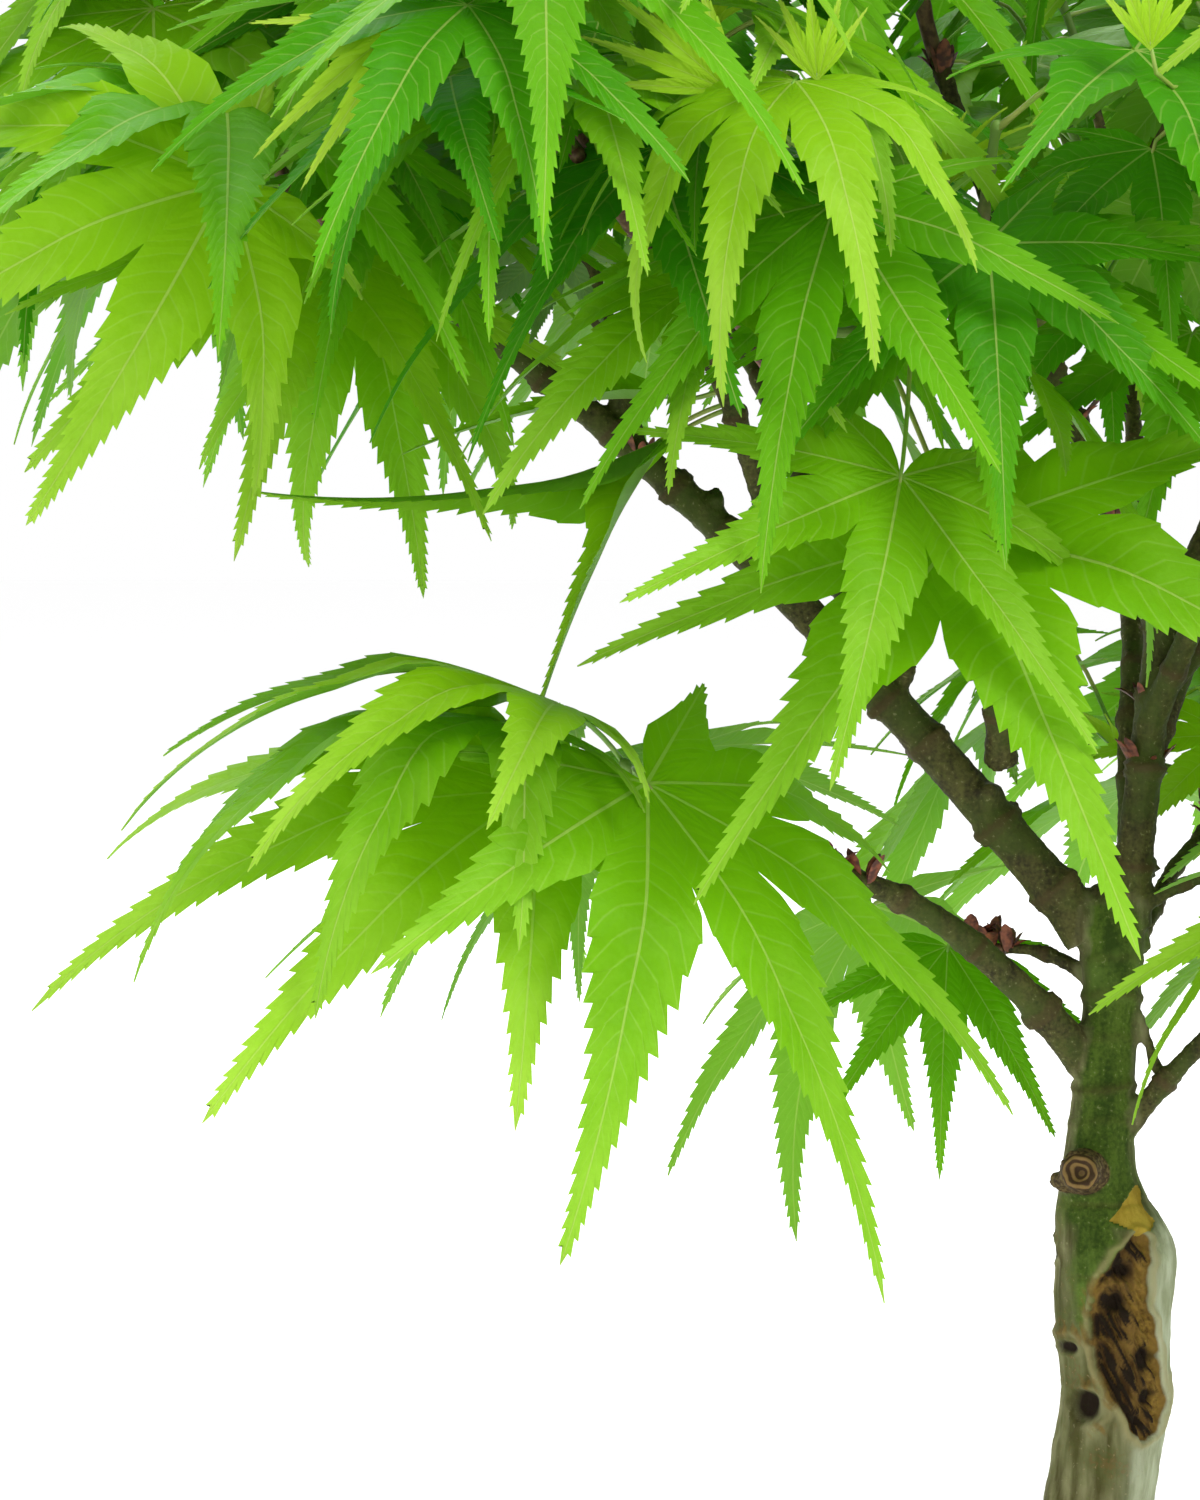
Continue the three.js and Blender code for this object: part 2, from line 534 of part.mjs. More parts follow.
// The twigs of every mass, then the leaves set by hand, then each spray's leaves by rule
const grown = Object.entries(MASSES).map(([name, mass], number) => growMass(name, mass, number + 1));
let number = 0;
for (const [name, specs] of Object.entries(SET_LEAVES)) {
  const owner = grown.find((g) => g.name === name);
  for (const spec of specs) addLeaf(owner, setLeaf(spec, number++, owner.sprays), false);
}
SLOTS.forEach((_, j) => {
  for (const owner of grown)
    for (const spray of owner.sprays)
      for (let attempt = 0; attempt < TRIES; attempt++)
        if (addLeaf(owner, ruledLeaf(owner.massNumber, owner.mass, spray, j, attempt))) break;
});
for (const owner of grown) {
  const fused = outerSkin(wasm.Manifold.union(owner.parts)).simplify(0.04);
  addNode(owner.name, fused, FOLIAGE);
}

export default tree;
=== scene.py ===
import math

import bpy
import numpy as np
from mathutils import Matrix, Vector, noise
from mathutils.bvhtree import BVHTree
from mathutils.kdtree import KDTree


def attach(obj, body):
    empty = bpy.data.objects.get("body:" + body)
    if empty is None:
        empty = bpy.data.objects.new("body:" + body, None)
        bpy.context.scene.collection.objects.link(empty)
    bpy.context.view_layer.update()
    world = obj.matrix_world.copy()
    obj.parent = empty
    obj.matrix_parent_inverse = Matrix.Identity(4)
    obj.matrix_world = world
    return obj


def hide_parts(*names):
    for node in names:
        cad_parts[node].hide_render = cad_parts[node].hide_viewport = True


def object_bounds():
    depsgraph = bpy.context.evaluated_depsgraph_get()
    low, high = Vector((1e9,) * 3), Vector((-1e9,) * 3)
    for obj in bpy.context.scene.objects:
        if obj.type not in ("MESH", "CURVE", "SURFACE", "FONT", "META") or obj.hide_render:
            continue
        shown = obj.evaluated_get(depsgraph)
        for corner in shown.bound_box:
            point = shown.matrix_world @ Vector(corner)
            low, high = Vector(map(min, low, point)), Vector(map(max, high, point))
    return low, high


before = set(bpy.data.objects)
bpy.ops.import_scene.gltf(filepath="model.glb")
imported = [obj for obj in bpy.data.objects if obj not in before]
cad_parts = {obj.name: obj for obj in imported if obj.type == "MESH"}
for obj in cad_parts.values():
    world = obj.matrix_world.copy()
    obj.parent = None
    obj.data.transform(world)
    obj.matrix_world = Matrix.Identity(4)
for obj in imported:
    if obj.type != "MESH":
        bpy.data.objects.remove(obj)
cad_low, cad_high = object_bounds()
MM = 0.001

# Camera: 0.9 m in front of the tree and a little above the level. The photograph has 6.5 pixels to each
# millimetre at the trunk, and its middle is to the left of the trunk.
PHOTO_SIZE = (1200, 1500)
PIXELS_PER_MM = 6.5
CAMERA_DISTANCE = 900
CAMERA_RISE = math.radians(4)
PICTURE_MIDDLE = np.array([-74.6, 0, 137])
SENSOR = 36


def placed(name, data):
    """A new object in the scene."""
    made = bpy.data.objects.new(name, data)
    bpy.context.scene.collection.objects.link(made)
    return made


away = np.array([0, -math.cos(CAMERA_RISE), math.sin(CAMERA_RISE)])
over = np.array([0, math.sin(CAMERA_RISE), math.cos(CAMERA_RISE)])
eye = PICTURE_MIDDLE + away * CAMERA_DISTANCE
camera = placed("camera", bpy.data.cameras.new("camera"))
bpy.context.scene.camera = camera
camera.data.sensor_width = SENSOR
camera.data.lens = SENSOR * CAMERA_DISTANCE * PIXELS_PER_MM / PHOTO_SIZE[1]
camera.data.clip_start = 0.01
camera.location = eye * MM
camera.rotation_euler = Vector(-away).to_track_quat("-Z", "Y").to_euler()


def in_photo(points):
    """Where places in millimetres show in the photograph, in its pixels."""
    seen = points - eye
    scale = PIXELS_PER_MM * CAMERA_DISTANCE / -(seen @ away)
    return PHOTO_SIZE[0] / 2 + seen[..., 0] * scale, PHOTO_SIZE[1] / 2 - (seen @ over) * scale


# Wood: the trunk and the boughs of a maple are one living body, which swells to a collar wherever a bough
# leaves it. Each limb is a tube along the solid's own line. All are fused, and the bark's relief is raised on
# the one skin.
TRUNK_HEIGHT = 116.5
TRUNK_RINGS = 90
TRUNK = np.array([  # height, lean and radius
    [-4, 0, 13.4], [0, 0, 12.6], [4, 0.4, 10.9], [10, 1.3, 9.4], [21.5, 2.8, 8.5], [37, 5.4, 8.4],
    [52, 4.9, 8.9], [58, 4.8, 9.1], [65, 3.2, 7.4], [71, 2.5, 5.9], [81.5, 2.9, 4.8], [98.5, 4.5, 4.4],
    [108, 4.2, 5.1], [113, 4.1, 4.9], [TRUNK_HEIGHT, 4.1, 2.4],
])


def limb(foot, heading, reach, rise, arch, radii):
    """A tapering limb: its foot, its compass heading, how far it reaches, rises and arches, and its radii."""
    return dict(foot=foot, heading=heading, reach=reach, rise=rise, arch=arch, radii=radii)


BOUGHS = {
    "left_bough": limb([1, 0, 109], 181, 112, 106, 8, [3.6, 1.7]),
    "leader": limb([6.5, 0, 110], 0, 5.5, 49, 0, [3.1, 2.4]),
    "top_left_bough": limb([11.5, 0, 157], 165, 36, 88, -3, [2.3, 1.3]),
    "top_right_bough": limb([11.8, 0, 154], 25, 46, 78, 5, [2.2, 1.3]),
    "low_left_bough": limb([0.5, -1, 89], 205, 54, 33, 7, [2.7, 1.4]),
    "low_right_bough": limb([6, -1, 78], -18, 52, 34, 9, [1.6, 1.1]),
    "right_bough": limb([11, 0, 146], -6, 72, 56, 6, [2, 1.2]),
    "back_bough": limb([7.5, 2, 106], 85, 74, 94, 10, [2.4, 1.3]),
    "low_back_bough": limb([3.5, 2, 94], 60, 42, 30, 4, [1.8, 1.1]),
    "inner_bough": limb([3, 2, 100], 148, 17, 5, 2, [1.3, 0.9]),
    "front_bough": limb([-13, -1, 135], 262, 40, 56, 6, [2.1, 1.2]),
    "front_right_bough": limb([9.5, -1, 140], -52, 56, 72, 8, [2, 1.2]),
    "front_left_bough": limb([-47, -1, 167], 240, 44, 48, 6, [1.9, 1.1]),
    "left_riser": limb([-70, 0, 185], 190, 12, 50, 0, [1.9, 1.2]),
    "middle_left_bough": limb([-31, 1, 151], 140, 24, 46, 4, [1.7, 1.1]),
    "back_left_bough": limb([-34, 1, 154], 125, 66, 78, 8, [2.1, 1.2]),
    "back_right_bough": limb([8.5, 2, 132], 48, 70, 82, 8, [2.1, 1.2]),
}
SPURS = [  # short side twigs of the wood, two on the right and a few pruned stumps along the left boughs
    limb([7, -1, 112], -8, 17, 7, 1, [1.2, 0.8]),
    limb([11, -2, 88], 195, 2.5, 9, 0, [0.9, 0.5]),
    limb([-14, -1, 130], 250, 4, 1, 0, [1.5, 1.2]),
    limb([-28, 0, 148], 285, 3, 2, 0, [1.3, 1.1]),
    limb([-57, 0, 176], 275, 3, -1, 0, [1.2, 1]),
    limb([-20, -9, 108], 280, 3, 1, 0, [1.2, 1]),
]
PRUNED = limb([1, -3, 71.8], 246, 6.3, 1.5, 0, [3.4, 2.7])
PRUNED_KNOB = limb([-1, -3, 70.8], 212, 4.6, 0, 0, [1.6, 1.2])
COLLAR, COLLAR_FADE = 0.35, 4
NODE_SWELL, NODE_SWAY = 0.13, 0.35
VOXEL = 0.62
UP = np.array([0.0, 0.0, 1.0])


def chance(*keys):
    """The rule's one source of chance, the same as the solids': a share from 0 to 1 for up to four keys."""
    s = math.sin(sum(k * by for k, by in zip(keys, (127.1, 311.7, 74.7, 19.19))) + 1.7) * 43758.5453
    return s - math.floor(s)


def jitter(*keys_and_most):
    """A chance value from -most to most, for up to four keys."""
    *keys, most = keys_and_most
    return (2 * chance(*keys) - 1) * most


def towards(heading, pitch=0.0):
    """The direction of a compass heading, in degrees from +X towards +Y, tipped down by a pitch."""
    heading, pitch = math.radians(heading), math.radians(pitch)
    level = math.cos(pitch)
    return np.array([math.cos(heading) * level, math.sin(heading) * level, -math.sin(pitch)])


def limb_points(spec, t):
    """Places on a limb's middle line, at shares of its length."""
    t = np.atleast_1d(t)[:, None]
    level = towards(spec["heading"]) * spec["reach"] * t
    return np.array(spec["foot"]) + level + UP * (spec["rise"] * t + spec["arch"] * np.sin(math.pi * t))


def ease(value, low, high):
    """Rises softly from 0 to 1 as the value goes from low to high."""
    share = np.clip((value - low) / (high - low), 0, 1)
    return share * share * (3 - 2 * share)


def bell(value, half):
    """A soft bump, 1 where the value is 0."""
    return np.exp(-((value / half) ** 2))


def limb_line(spec, number):
    """A limb's centres and radii every millimetre, with a collar at its foot and a ring at each node."""
    length = math.hypot(spec["reach"], spec["rise"])
    share = np.linspace(0, 1, max(5, int(length)))
    far = share * length
    thick, thin = spec["radii"]
    radii = thick + (thin - thick) * share + COLLAR * thick * np.exp(-far / COLLAR_FADE)
    centres = limb_points(spec, share)
    at, k = 7 + 4 * chance(number, 0, 0, 41), 0
    spec["nodes"] = []
    while at < length - 2:
        radii = radii + NODE_SWELL * radii * bell(far - at, 1.1)
        sway = jitter(number, k, 0, 43, NODE_SWAY) * bell(far - at, 6)
        centres = centres + sway[:, None] * towards(spec["heading"] + 90)
        spec["nodes"].append((at, 90 * k + 360 * chance(number, 0, 0, 42)))
        at, k = at + 8 + 7 * chance(number, k, 0, 44), k + 1
    return centres, radii


def trunk_line():
    """The trunk's centres and radii, with its angles rounded off up to the fork."""
    height = np.linspace(TRUNK[0, 0], TRUNK_HEIGHT, TRUNK_RINGS)
    soft = [np.interp(height + step, TRUNK[:, 0], TRUNK[:, 2]) for step in (-3, -1.5, 0, 1.5, 3)]
    radii = np.where(height < TRUNK_HEIGHT - 4, np.mean(soft, axis=0), soft[2])
    lean = np.interp(height, TRUNK[:, 0], TRUNK[:, 1])
    return np.stack([lean, 0 * height, height], axis=1), radii


wood_curve = bpy.data.curves.new("wood", "CURVE")
wood_curve.dimensions = "3D"
wood_curve.bevel_depth = MM
wood_curve.bevel_resolution = 6
wood_curve.use_fill_caps = True
limb_lines = [trunk_line()]
every_limb = [*BOUGHS.values(), *SPURS, PRUNED, PRUNED_KNOB]
for number, spec in enumerate(every_limb):
    limb_lines.append(limb_line(spec, number + 1))
for centres, radii in limb_lines:
    spline = wood_curve.splines.new("POLY")
    spline.points.add(len(centres) - 1)
    spline.points.foreach_set("co", np.column_stack([centres * MM, np.ones(len(centres))]).ravel())
    spline.points.foreach_set("radius", radii)

bpy.ops.object.select_all(action="DESELECT")
wood = placed("wood", wood_curve)
wood.select_set(True)
bpy.context.view_layer.objects.active = wood
bpy.ops.object.convert(target="MESH")
remesh = wood.modifiers.new("fuse", "REMESH")
remesh.mode = "VOXEL"
remesh.voxel_size = VOXEL * MM
bpy.ops.object.modifier_apply(modifier="fuse")
smooth = wood.modifiers.new("soften", "SMOOTH")
smooth.factor = 0.5
smooth.iterations = 5
bpy.ops.object.modifier_apply(modifier="soften")
bpy.ops.object.mode_set(mode="EDIT")
bpy.ops.mesh.select_all(action="SELECT")
bpy.ops.mesh.bisect(plane_co=(0, 0, 0), plane_no=(0, 0, 1), use_fill=True, clear_inner=True)
bpy.ops.object.mode_set(mode="OBJECT")


def vectors_of(items, name):
    """One vector of each vertex or face, as the rows of an array."""
    values = np.empty(len(items) * 3)
    items.foreach_get(name, values)
    return values.reshape(-1, 3)


# The front of the trunk, with its wounds, gets a net twice as fine
FINE_FOOT, FINE_TOP, FINE_HALF = 29, 82, 12
x, y, z = vectors_of(wood.data.polygons, "center").T / MM
is_front = (y < -1) & (z > FINE_FOOT) & (z < FINE_TOP) & (np.abs(x - 4) < FINE_HALF)
wood.data.polygons.foreach_set("select", is_front)
bpy.ops.object.mode_set(mode="EDIT")
bpy.ops.mesh.select_mode(type="FACE")
bpy.ops.mesh.subdivide(number_cuts=1)
bpy.ops.mesh.select_all(action="DESELECT")
bpy.ops.object.mode_set(mode="OBJECT")

# Marks on the front of the trunk, in millimetres across and up as the front view shows them
ROOTS, ROOT_OUT, ROOT_HEIGHT = 5, 3.2, 9
SWELLINGS = [  # height, side it faces, how far out, half-height, half-width in degrees
    (60, -8, 1.2, 7, 42),
    (48, 190, 0.5, 7, 24),
    (66, 195, 0.5, 3, 24),
    (61, 190, 0.35, 1.6, 30),
]
RING_SCARS = [(85, 0.55), (99.3, 0.5), (79.7, 0.2), (92.5, 0.25), (105, 0.25)]  # height and how far out
CREASES = [(67.3, 0.5, 0.5), (56.2, 0.6, 0.4)]  # height, how far they wander and half-height
OLD_BARK_ENDS, GREEN_STARTS = (60, 68), (61, 66)
WOUND = [  # across, up and half-width of the sunken wound, from its top to its foot
    (8.0, 61.6, 1.6), (6.9, 58.6, 2.9), (5.6, 55.0, 3.7), (5.1, 51.2, 4.2), (5.8, 47.8, 4.9),
    (6.5, 43.6, 5.0), (7.8, 40.0, 4.4), (9.2, 36.6, 3.7), (9.4, 33.8, 2.8), (8.9, 31.4, 0.9),
]
HOLLOWS = [  # across, up, half-width, depth and half-height over half-width
    (5.2, 57.4, 1.7, 1.3, 1.0),
    (4.5, 52.3, 2.1, 1.7, 0.85),
    (9.6, 43.4, 1.5, 1.0, 1.6),
    (10.2, 37.4, 1.4, 1.0, 1.0),
    (8.4, 33.8, 1.1, 0.8, 0.9),
    (0.2, 36.4, 1.9, 1.6, 1.25),
    (-2.2, 45.0, 1.2, 0.7, 0.8),
    (-4.2, 59.6, 0.5, 0.5, 3.2),
]
LIPS = [  # ridges of healed bark by the hollows and the wound: across, up, radius, from and to in degrees
    (4.4, 52.6, 3.3, 60, 215),
    (0.7, 36.2, 3.0, -95, 110),
    (-1.9, 45.2, 2.3, 10, 200),
    (2.2, 44.0, 2.6, 20, 120),
]
BARE_WOOD = [  # corners of a patch without bark
    (3.6, 65), (5.3, 66.9), (6.6, 68.6), (7.3, 69.6), (8.3, 70), (8.9, 66.9),
    (9.6, 65.2), (10.4, 64.2), (9.6, 63), (8.1, 62.9), (5.6, 64.2),
]
PRUNED_FACE = (-1.1, 72.8)  # the middle of the pruned stub's cut end


def inside(outline, x, z):
    """1 for the points inside a closed outline and 0 for the others."""
    result = np.zeros(x.shape, bool)
    for (x0, z0), (x1, z1) in zip(outline, outline[1:] + outline[:1]):
        crosses = (z0 > z) != (z1 > z)
        slope = (x1 - x0) / (z1 - z0)
        result ^= crosses & (x < x0 + (z - z0) * slope)
    return result.astype(float)


def rough(points, scale, offset=0.0):
    """Soft noise between about -1 and 1; scale has the patterns to a millimetre along each axis."""
    stretched = points * scale + offset
    return np.array([noise.noise(p) for p in stretched.tolist()])


def tree_of(points):
    """A search tree of points."""
    tree = KDTree(len(points))
    for k, point in enumerate(points):
        tree.insert(point, k)
    tree.balance()
    return tree


def nearest_limb(points):
    """For each point the limb that it lies on, and how far along that limb it is in millimetres."""
    samples = []
    for i, (centres, _) in enumerate(limb_lines):
        samples += [(centre, i, far) for far, centre in enumerate(centres)]
    tree = tree_of([sample[0] for sample in samples])
    found = np.array([tree.find(p)[1] for p in points.tolist()])
    owners, fars = np.array([s[1] for s in samples]), np.array([s[2] for s in samples], float)
    return owners[found], fars[found]


def wound_relief(x, z, front, ragged, fibres):
    """How deep the open wood lies, and the values of its colours, with painted shade in its hollows."""
    edge, side = np.full(x.shape, -9.0), np.zeros(x.shape)
    for (x0, z0, w0), (x1, z1, w1) in zip(WOUND, WOUND[1:]):
        u = np.clip(((x - x0) * (x1 - x0) + (z - z0) * (z1 - z0)) / ((x1 - x0) ** 2 + (z1 - z0) ** 2), 0, 1)
        width = w0 + u * (w1 - w0)
        off = x - x0 - u * (x1 - x0)
        depth = width - np.hypot(off, z - z0 - u * (z1 - z0))
        side = np.where(depth > edge, off / width, side)
        edge = np.maximum(edge, depth)
    edge = np.where(front, edge + 0.5 * ragged, -9)
    sunk = ease(edge, -0.1, 0.6)
    lip = bell(edge + 0.5, 0.6) * (1 - sunk)
    out = 0.6 * lip - sunk * (1.0 + 0.9 * fibres)
    dark = sunk * ease(-fibres - 0.5 * side, -0.25, 0.5)
    ochre = sunk * ease(side + 0.3 * fibres, 0.25, 0.75)
    for across, up, half, deep, tall in HOLLOWS:
        far = np.hypot(x - across, (z - up) / tall) / half
        far = np.where(front, far + 0.22 * ragged, 9)
        out = out - deep * np.exp(-(far**4))
        out = out + 0.3 * bell(far - 1.35, 0.3) * (1 - sunk)
        # Painted shade: each hollow's sunk floor is painted near black.
        dark = np.maximum(dark, np.exp(-(far**4)))
    for across, up, radius, start, end in LIPS:
        far = np.hypot(x - across, z - up) + 0.3 * ragged
        turn = np.degrees(np.arctan2(z - up, x - across))
        turn = np.where(turn < start - 60, turn + 360, turn)
        arc = ease(turn, start - 15, start + 15) * (1 - ease(turn, end - 15, end + 15))
        ridge = np.where(front, bell(far - radius, 0.7) * arc, 0)
        patch = np.where(front, bell(far - radius - 0.6, 1.7) * arc * ease(fibres + ragged, -0.6, 0.5), 0)
        out = out + 0.7 * ridge
        dark = dark * (1 - ridge)
        ochre = np.maximum(ochre, 0.5 * patch)
        lip = np.maximum(lip, 0.5 * ridge)
    return out, dict(wound=sunk, dark=dark, lip=lip, ochre=ochre)


def trunk_relief(points, normals):
    """How far roots, swellings, rings, grain and the wound raise the trunk's skin, and its colour values."""
    x, y, z = points.T
    lean = np.interp(z, TRUNK[:, 0], TRUNK[:, 1])
    angle = np.arctan2(y, x - lean)
    front = normals[:, 1] < 0.15
    ragged = rough(points, 0.34, 3.0) + 0.35 * rough(points, 0.9, 4.0)
    across_grain = np.stack([0.85 * x + 0.53 * z, y * 0.4, (-0.53 * x + 0.85 * z) * 0.16], axis=1)
    fibres = rough(across_grain, 1.5, 7.0) + 0.5 * rough(across_grain, 3.6, 9.0)
    out = ROOT_OUT * np.exp(-z / ROOT_HEIGHT) * np.cos(ROOTS * angle + 0.6)
    for at, facing, most, tall, wide in SWELLINGS:
        across = (np.degrees(angle) - facing + 540) % 360 - 180
        out = out + most * bell(z - at, tall) * bell(across, wide)
    ring = np.zeros_like(z)
    for at, most in RING_SCARS:
        wander = at + 0.5 * np.sin(2 * angle + at) + 0.5 * rough(points, 0.35, at)
        ring = ring + most * bell(z - wander, 0.75)
    old = 1 - ease(z, *OLD_BARK_ENDS)
    grain = 0.22 * rough(points, np.array([0.9, 0.9, 0.22]), 1.0)
    grain = grain + 0.1 * rough(points, np.array([2, 2, 0.5]), 2.0)
    wound_out, values = wound_relief(x, z, front, ragged, fibres)
    bare = inside(BARE_WOOD, x + 0.2 * ragged, z + 0.2 * ragged) * front
    out = out + wound_out + ring + grain * (0.35 + 0.65 * old) * (1 - values["wound"]) - 0.3 * bare
    green_side = bell(x - 1.2, 4.4) * ease(z + 1.5 * ragged, 46.5, 49.5) * front
    green_top = ease(z, *GREEN_STARTS)
    off_middle = np.abs(x - lean) / np.interp(z, TRUNK[:, 0], TRUNK[:, 2])
    moss = np.maximum(green_side, green_top) * ease(normals[:, 1] - 0.55 * normals[:, 0], 1.0, -0.35)
    # Painted rim light: the green thins out towards the trunk's edges in the front view, so the edges show
    # the paler grey bark.
    moss = moss * (1 - 0.55 * ease(off_middle + 0.15 * ragged, 0.45, 0.95))
    creases = sum(bell(z - at - wander * ragged, half) for at, wander, half in CREASES)
    out = out - 0.25 * creases * moss
    # Painted light: the old bark that faces right is made paler, a highlight on its lit side.
    pale = ease(normals[:, 0], 0.1, 0.8) * old
    # The sunk creases in the green bark are darkened with the same brown as the ring scars.
    ring = np.clip(ring * 1.6 + 0.6 * creases * moss, 0, 1)
    values.update(bare=bare, ring=ring, moss=moss, pale=pale)
    return out, values


def bough_relief(points, owner, far):
    """Rings and eyes at the nodes, and fine grain along each bough."""
    out = 0.16 * rough(points, 0.8, 5.0) + 0.09 * rough(points, 2.0, 6.0)
    ring = np.zeros(len(points))
    for number, spec in enumerate(every_limb):
        mine = owner == number + 1
        if not mine.any():
            continue
        centres = limb_lines[number + 1][0]
        local = points[mine] - centres[np.minimum(far[mine].astype(int), len(centres) - 1)]
        across, rise = towards(spec["heading"] + 90), UP
        turn = np.degrees(np.arctan2(local @ rise, local @ across))
        radius = np.interp(far[mine], [0, len(centres)], spec["radii"])
        bump, scar = np.zeros(mine.sum()), np.zeros(mine.sum())
        for at, facing in spec["nodes"]:
            near = bell(far[mine] - at, 1.2)
            away_from = (turn - facing + 450) % 180 - 90
            bump = bump + near * bell(away_from, 34) * 0.3 * radius
            scar = np.maximum(scar, bell(far[mine] - at, 0.7))
        out[mine] += bump + 0.08 * scar
        ring[mine] = scar
    return out, ring


mesh = wood.data
points, normals = vectors_of(mesh.vertices, "co") / MM, vectors_of(mesh.vertices, "normal")
owner, far = nearest_limb(points)
stub_numbers = [len(every_limb) - 1, len(every_limb)]  # the pruned stub and its knob come last
on_stub = np.isin(owner, stub_numbers)
axis = np.interp(points[:, 2], TRUNK[:, 0], TRUNK[:, 1])
reach = np.hypot(points[:, 0] - axis, points[:, 1])
trunk_radius = np.interp(points[:, 2], TRUNK[:, 0], TRUNK[:, 2])
trunk_share = 1 - ease(reach - trunk_radius, 0.6, 2.6)
trunk_share = trunk_share * (1 - ease(points[:, 2], 111, 118))
trunk_out, wood_values = trunk_relief(points, normals)
bough_out, bough_ring = bough_relief(points, owner, far)
out = trunk_out * trunk_share + bough_out * (1 - trunk_share)
for name in ("wound", "dark", "lip", "ochre", "bare", "moss", "pale"):
    wood_values[name] = wood_values[name] * trunk_share
wood_values["ring"] = wood_values["ring"] * trunk_share + bough_ring * (1 - trunk_share)
wood_values["young"] = 1 - trunk_share
from_cut = np.hypot(points[:, 0] - PRUNED_FACE[0], points[:, 2] - PRUNED_FACE[1])
stub = on_stub * ease(reach - trunk_radius, 0.3, 1.2)
cut_face = stub * (1 - ease(from_cut, 2.4, 3.0)) * (points[:, 1] < -5.5)
wood_values["stub"], wood_values["cut_face"] = stub, cut_face
wood_values["from_cut"] = from_cut + 0.35 * rough(points, 0.7, 11.0)
out = out - 0.8 * cut_face * bell(from_cut, 1.0) + 0.4 * cut_face * bell(from_cut - 2.2, 0.6)
out = out + 0.25 * stub * rough(points, 0.9, 12.0)
# Painted shadow: a band of bark just under the pruned stub is darkened, where the stub shades it. The sunk
# middle of the cut face is made darker as well.
stub_shadow = bell(points[:, 0] - 0.4, 2.2) * bell(points[:, 2] - 69.4, 0.9) * (normals[:, 1] < 0)
core = 0.5 * cut_face * bell(from_cut, 0.8)
wood_values["dark"] = np.maximum(wood_values["dark"], np.maximum(core, 0.5 * stub_shadow))
points = points + normals * out[:, None]
points[:, 2] = np.where(points[:, 2] < 0.3, 0, points[:, 2])
mesh.vertices.foreach_set("co", (points * MM).ravel())
for name, values in wood_values.items():
    mesh.attributes.new(name, "FLOAT", "POINT").data.foreach_set("value", values.astype(np.float32))
bpy.ops.object.shade_smooth()


# Bark: smooth and green on the upper trunk, grey, streaked and older below, ochre and dark brown where the
# wood lies open, and a thinner olive-brown skin on the boughs. Painted shade darkens the hollows and the bark
# under the pruned stub, and painted light makes the trunk's edges and the old bark that faces right paler.
def srgb(*channels):
    """Linear colour of an 8-bit one."""
    return (*[((c / 255 + 0.055) / 1.055) ** 2.4 if c > 10 else c / 255 / 12.92 for c in channels], 1.0)


class Socket:
    """The output of a shader node, which sums and products can use."""

    def __init__(self, material, output):
        self.material, self.output = material, output

    def maths(self, operation, first, second):
        return self.material.node("ShaderNodeMath", dict(operation=operation), {0: first, 1: second})

    def __add__(self, other):
        return self.maths("ADD", self, other)

    def __mul__(self, other):
        return self.maths("MULTIPLY", self, other)

    def __sub__(self, other):
        return self.maths("SUBTRACT", self, other)

    def __rsub__(self, other):
        return self.maths("SUBTRACT", other, self)

    __radd__, __rmul__ = __add__, __mul__

    def rise(self, low, high):
        """Rises from 0 to 1 as the value goes from low to high."""
        inputs = {"Value": self, "From Min": low, "From Max": high}
        return self.material.node("ShaderNodeMapRange", {}, inputs)


class Material:
    """A principled material whose inputs take numbers, colours or sockets."""

    def __init__(self, name, **inputs):
        self.made = bpy.data.materials.new(name)
        self.made.use_nodes = True
        self.tree = self.made.node_tree
        self.surface = self.tree.nodes["Principled BSDF"]
        self.set(self.surface, {key.replace("_", " "): value for key, value in inputs.items()})

    def set(self, node, inputs):
        for name, value in inputs.items():
            if isinstance(value, Socket):
                self.tree.links.new(value.output, node.inputs[name])
            else:
                node.inputs[name].default_value = value

    def node(self, kind, settings, inputs, output=0):
        """Any node: its type, its settings, then the values or links of its sockets."""
        node = self.tree.nodes.new(kind)
        for name, value in settings.items():
            setattr(node, name, value)
        self.set(node, inputs)
        return Socket(self, node.outputs[output])

    def noise(self, scale, detail=3.0, stretch=(1, 1, 1)):
        """Noise with so many patterns to a millimetre."""
        place = self.node("ShaderNodeTexCoord", {}, {}, "Object")
        place = self.node("ShaderNodeMapping", {}, {"Vector": place, "Scale": stretch})
        return self.node("ShaderNodeTexNoise", {}, {"Vector": place, "Scale": scale / MM, "Detail": detail})

    def value(self, name):
        return self.node("ShaderNodeAttribute", dict(attribute_name=name), {}, "Fac")

    def mix(self, share, first, second):
        return self.node("ShaderNodeMix", dict(data_type="RGBA"), {0: share, 6: first, 7: second}, 2)

    def paint(self, colour):
        self.set(self.surface, {"Base Color": colour})

    def bump(self, height, distance, strength=1.0):
        inputs = {"Height": height, "Distance": distance * MM, "Strength": strength}
        self.set(self.surface, {"Normal": self.node("ShaderNodeBump", {}, inputs)})


RINGS_TO_MM = 6.5
bark = Material("bark", Specular_IOR_Level=0.2)
streak = bark.noise(0.45, 5, (1, 1, 0.2))
fleck = bark.noise(1.6)
blotch = bark.noise(0.12)
grey = bark.mix(streak.rise(0.36, 0.64), srgb(70, 66, 34), srgb(124, 122, 86))
grey = bark.mix(blotch.rise(0.45, 0.62) * 0.6, grey, srgb(72, 78, 34))
grey = bark.mix((fleck * 0.4 + blotch * 0.6).rise(0.56, 0.64) * 0.4, grey, srgb(110, 78, 44))
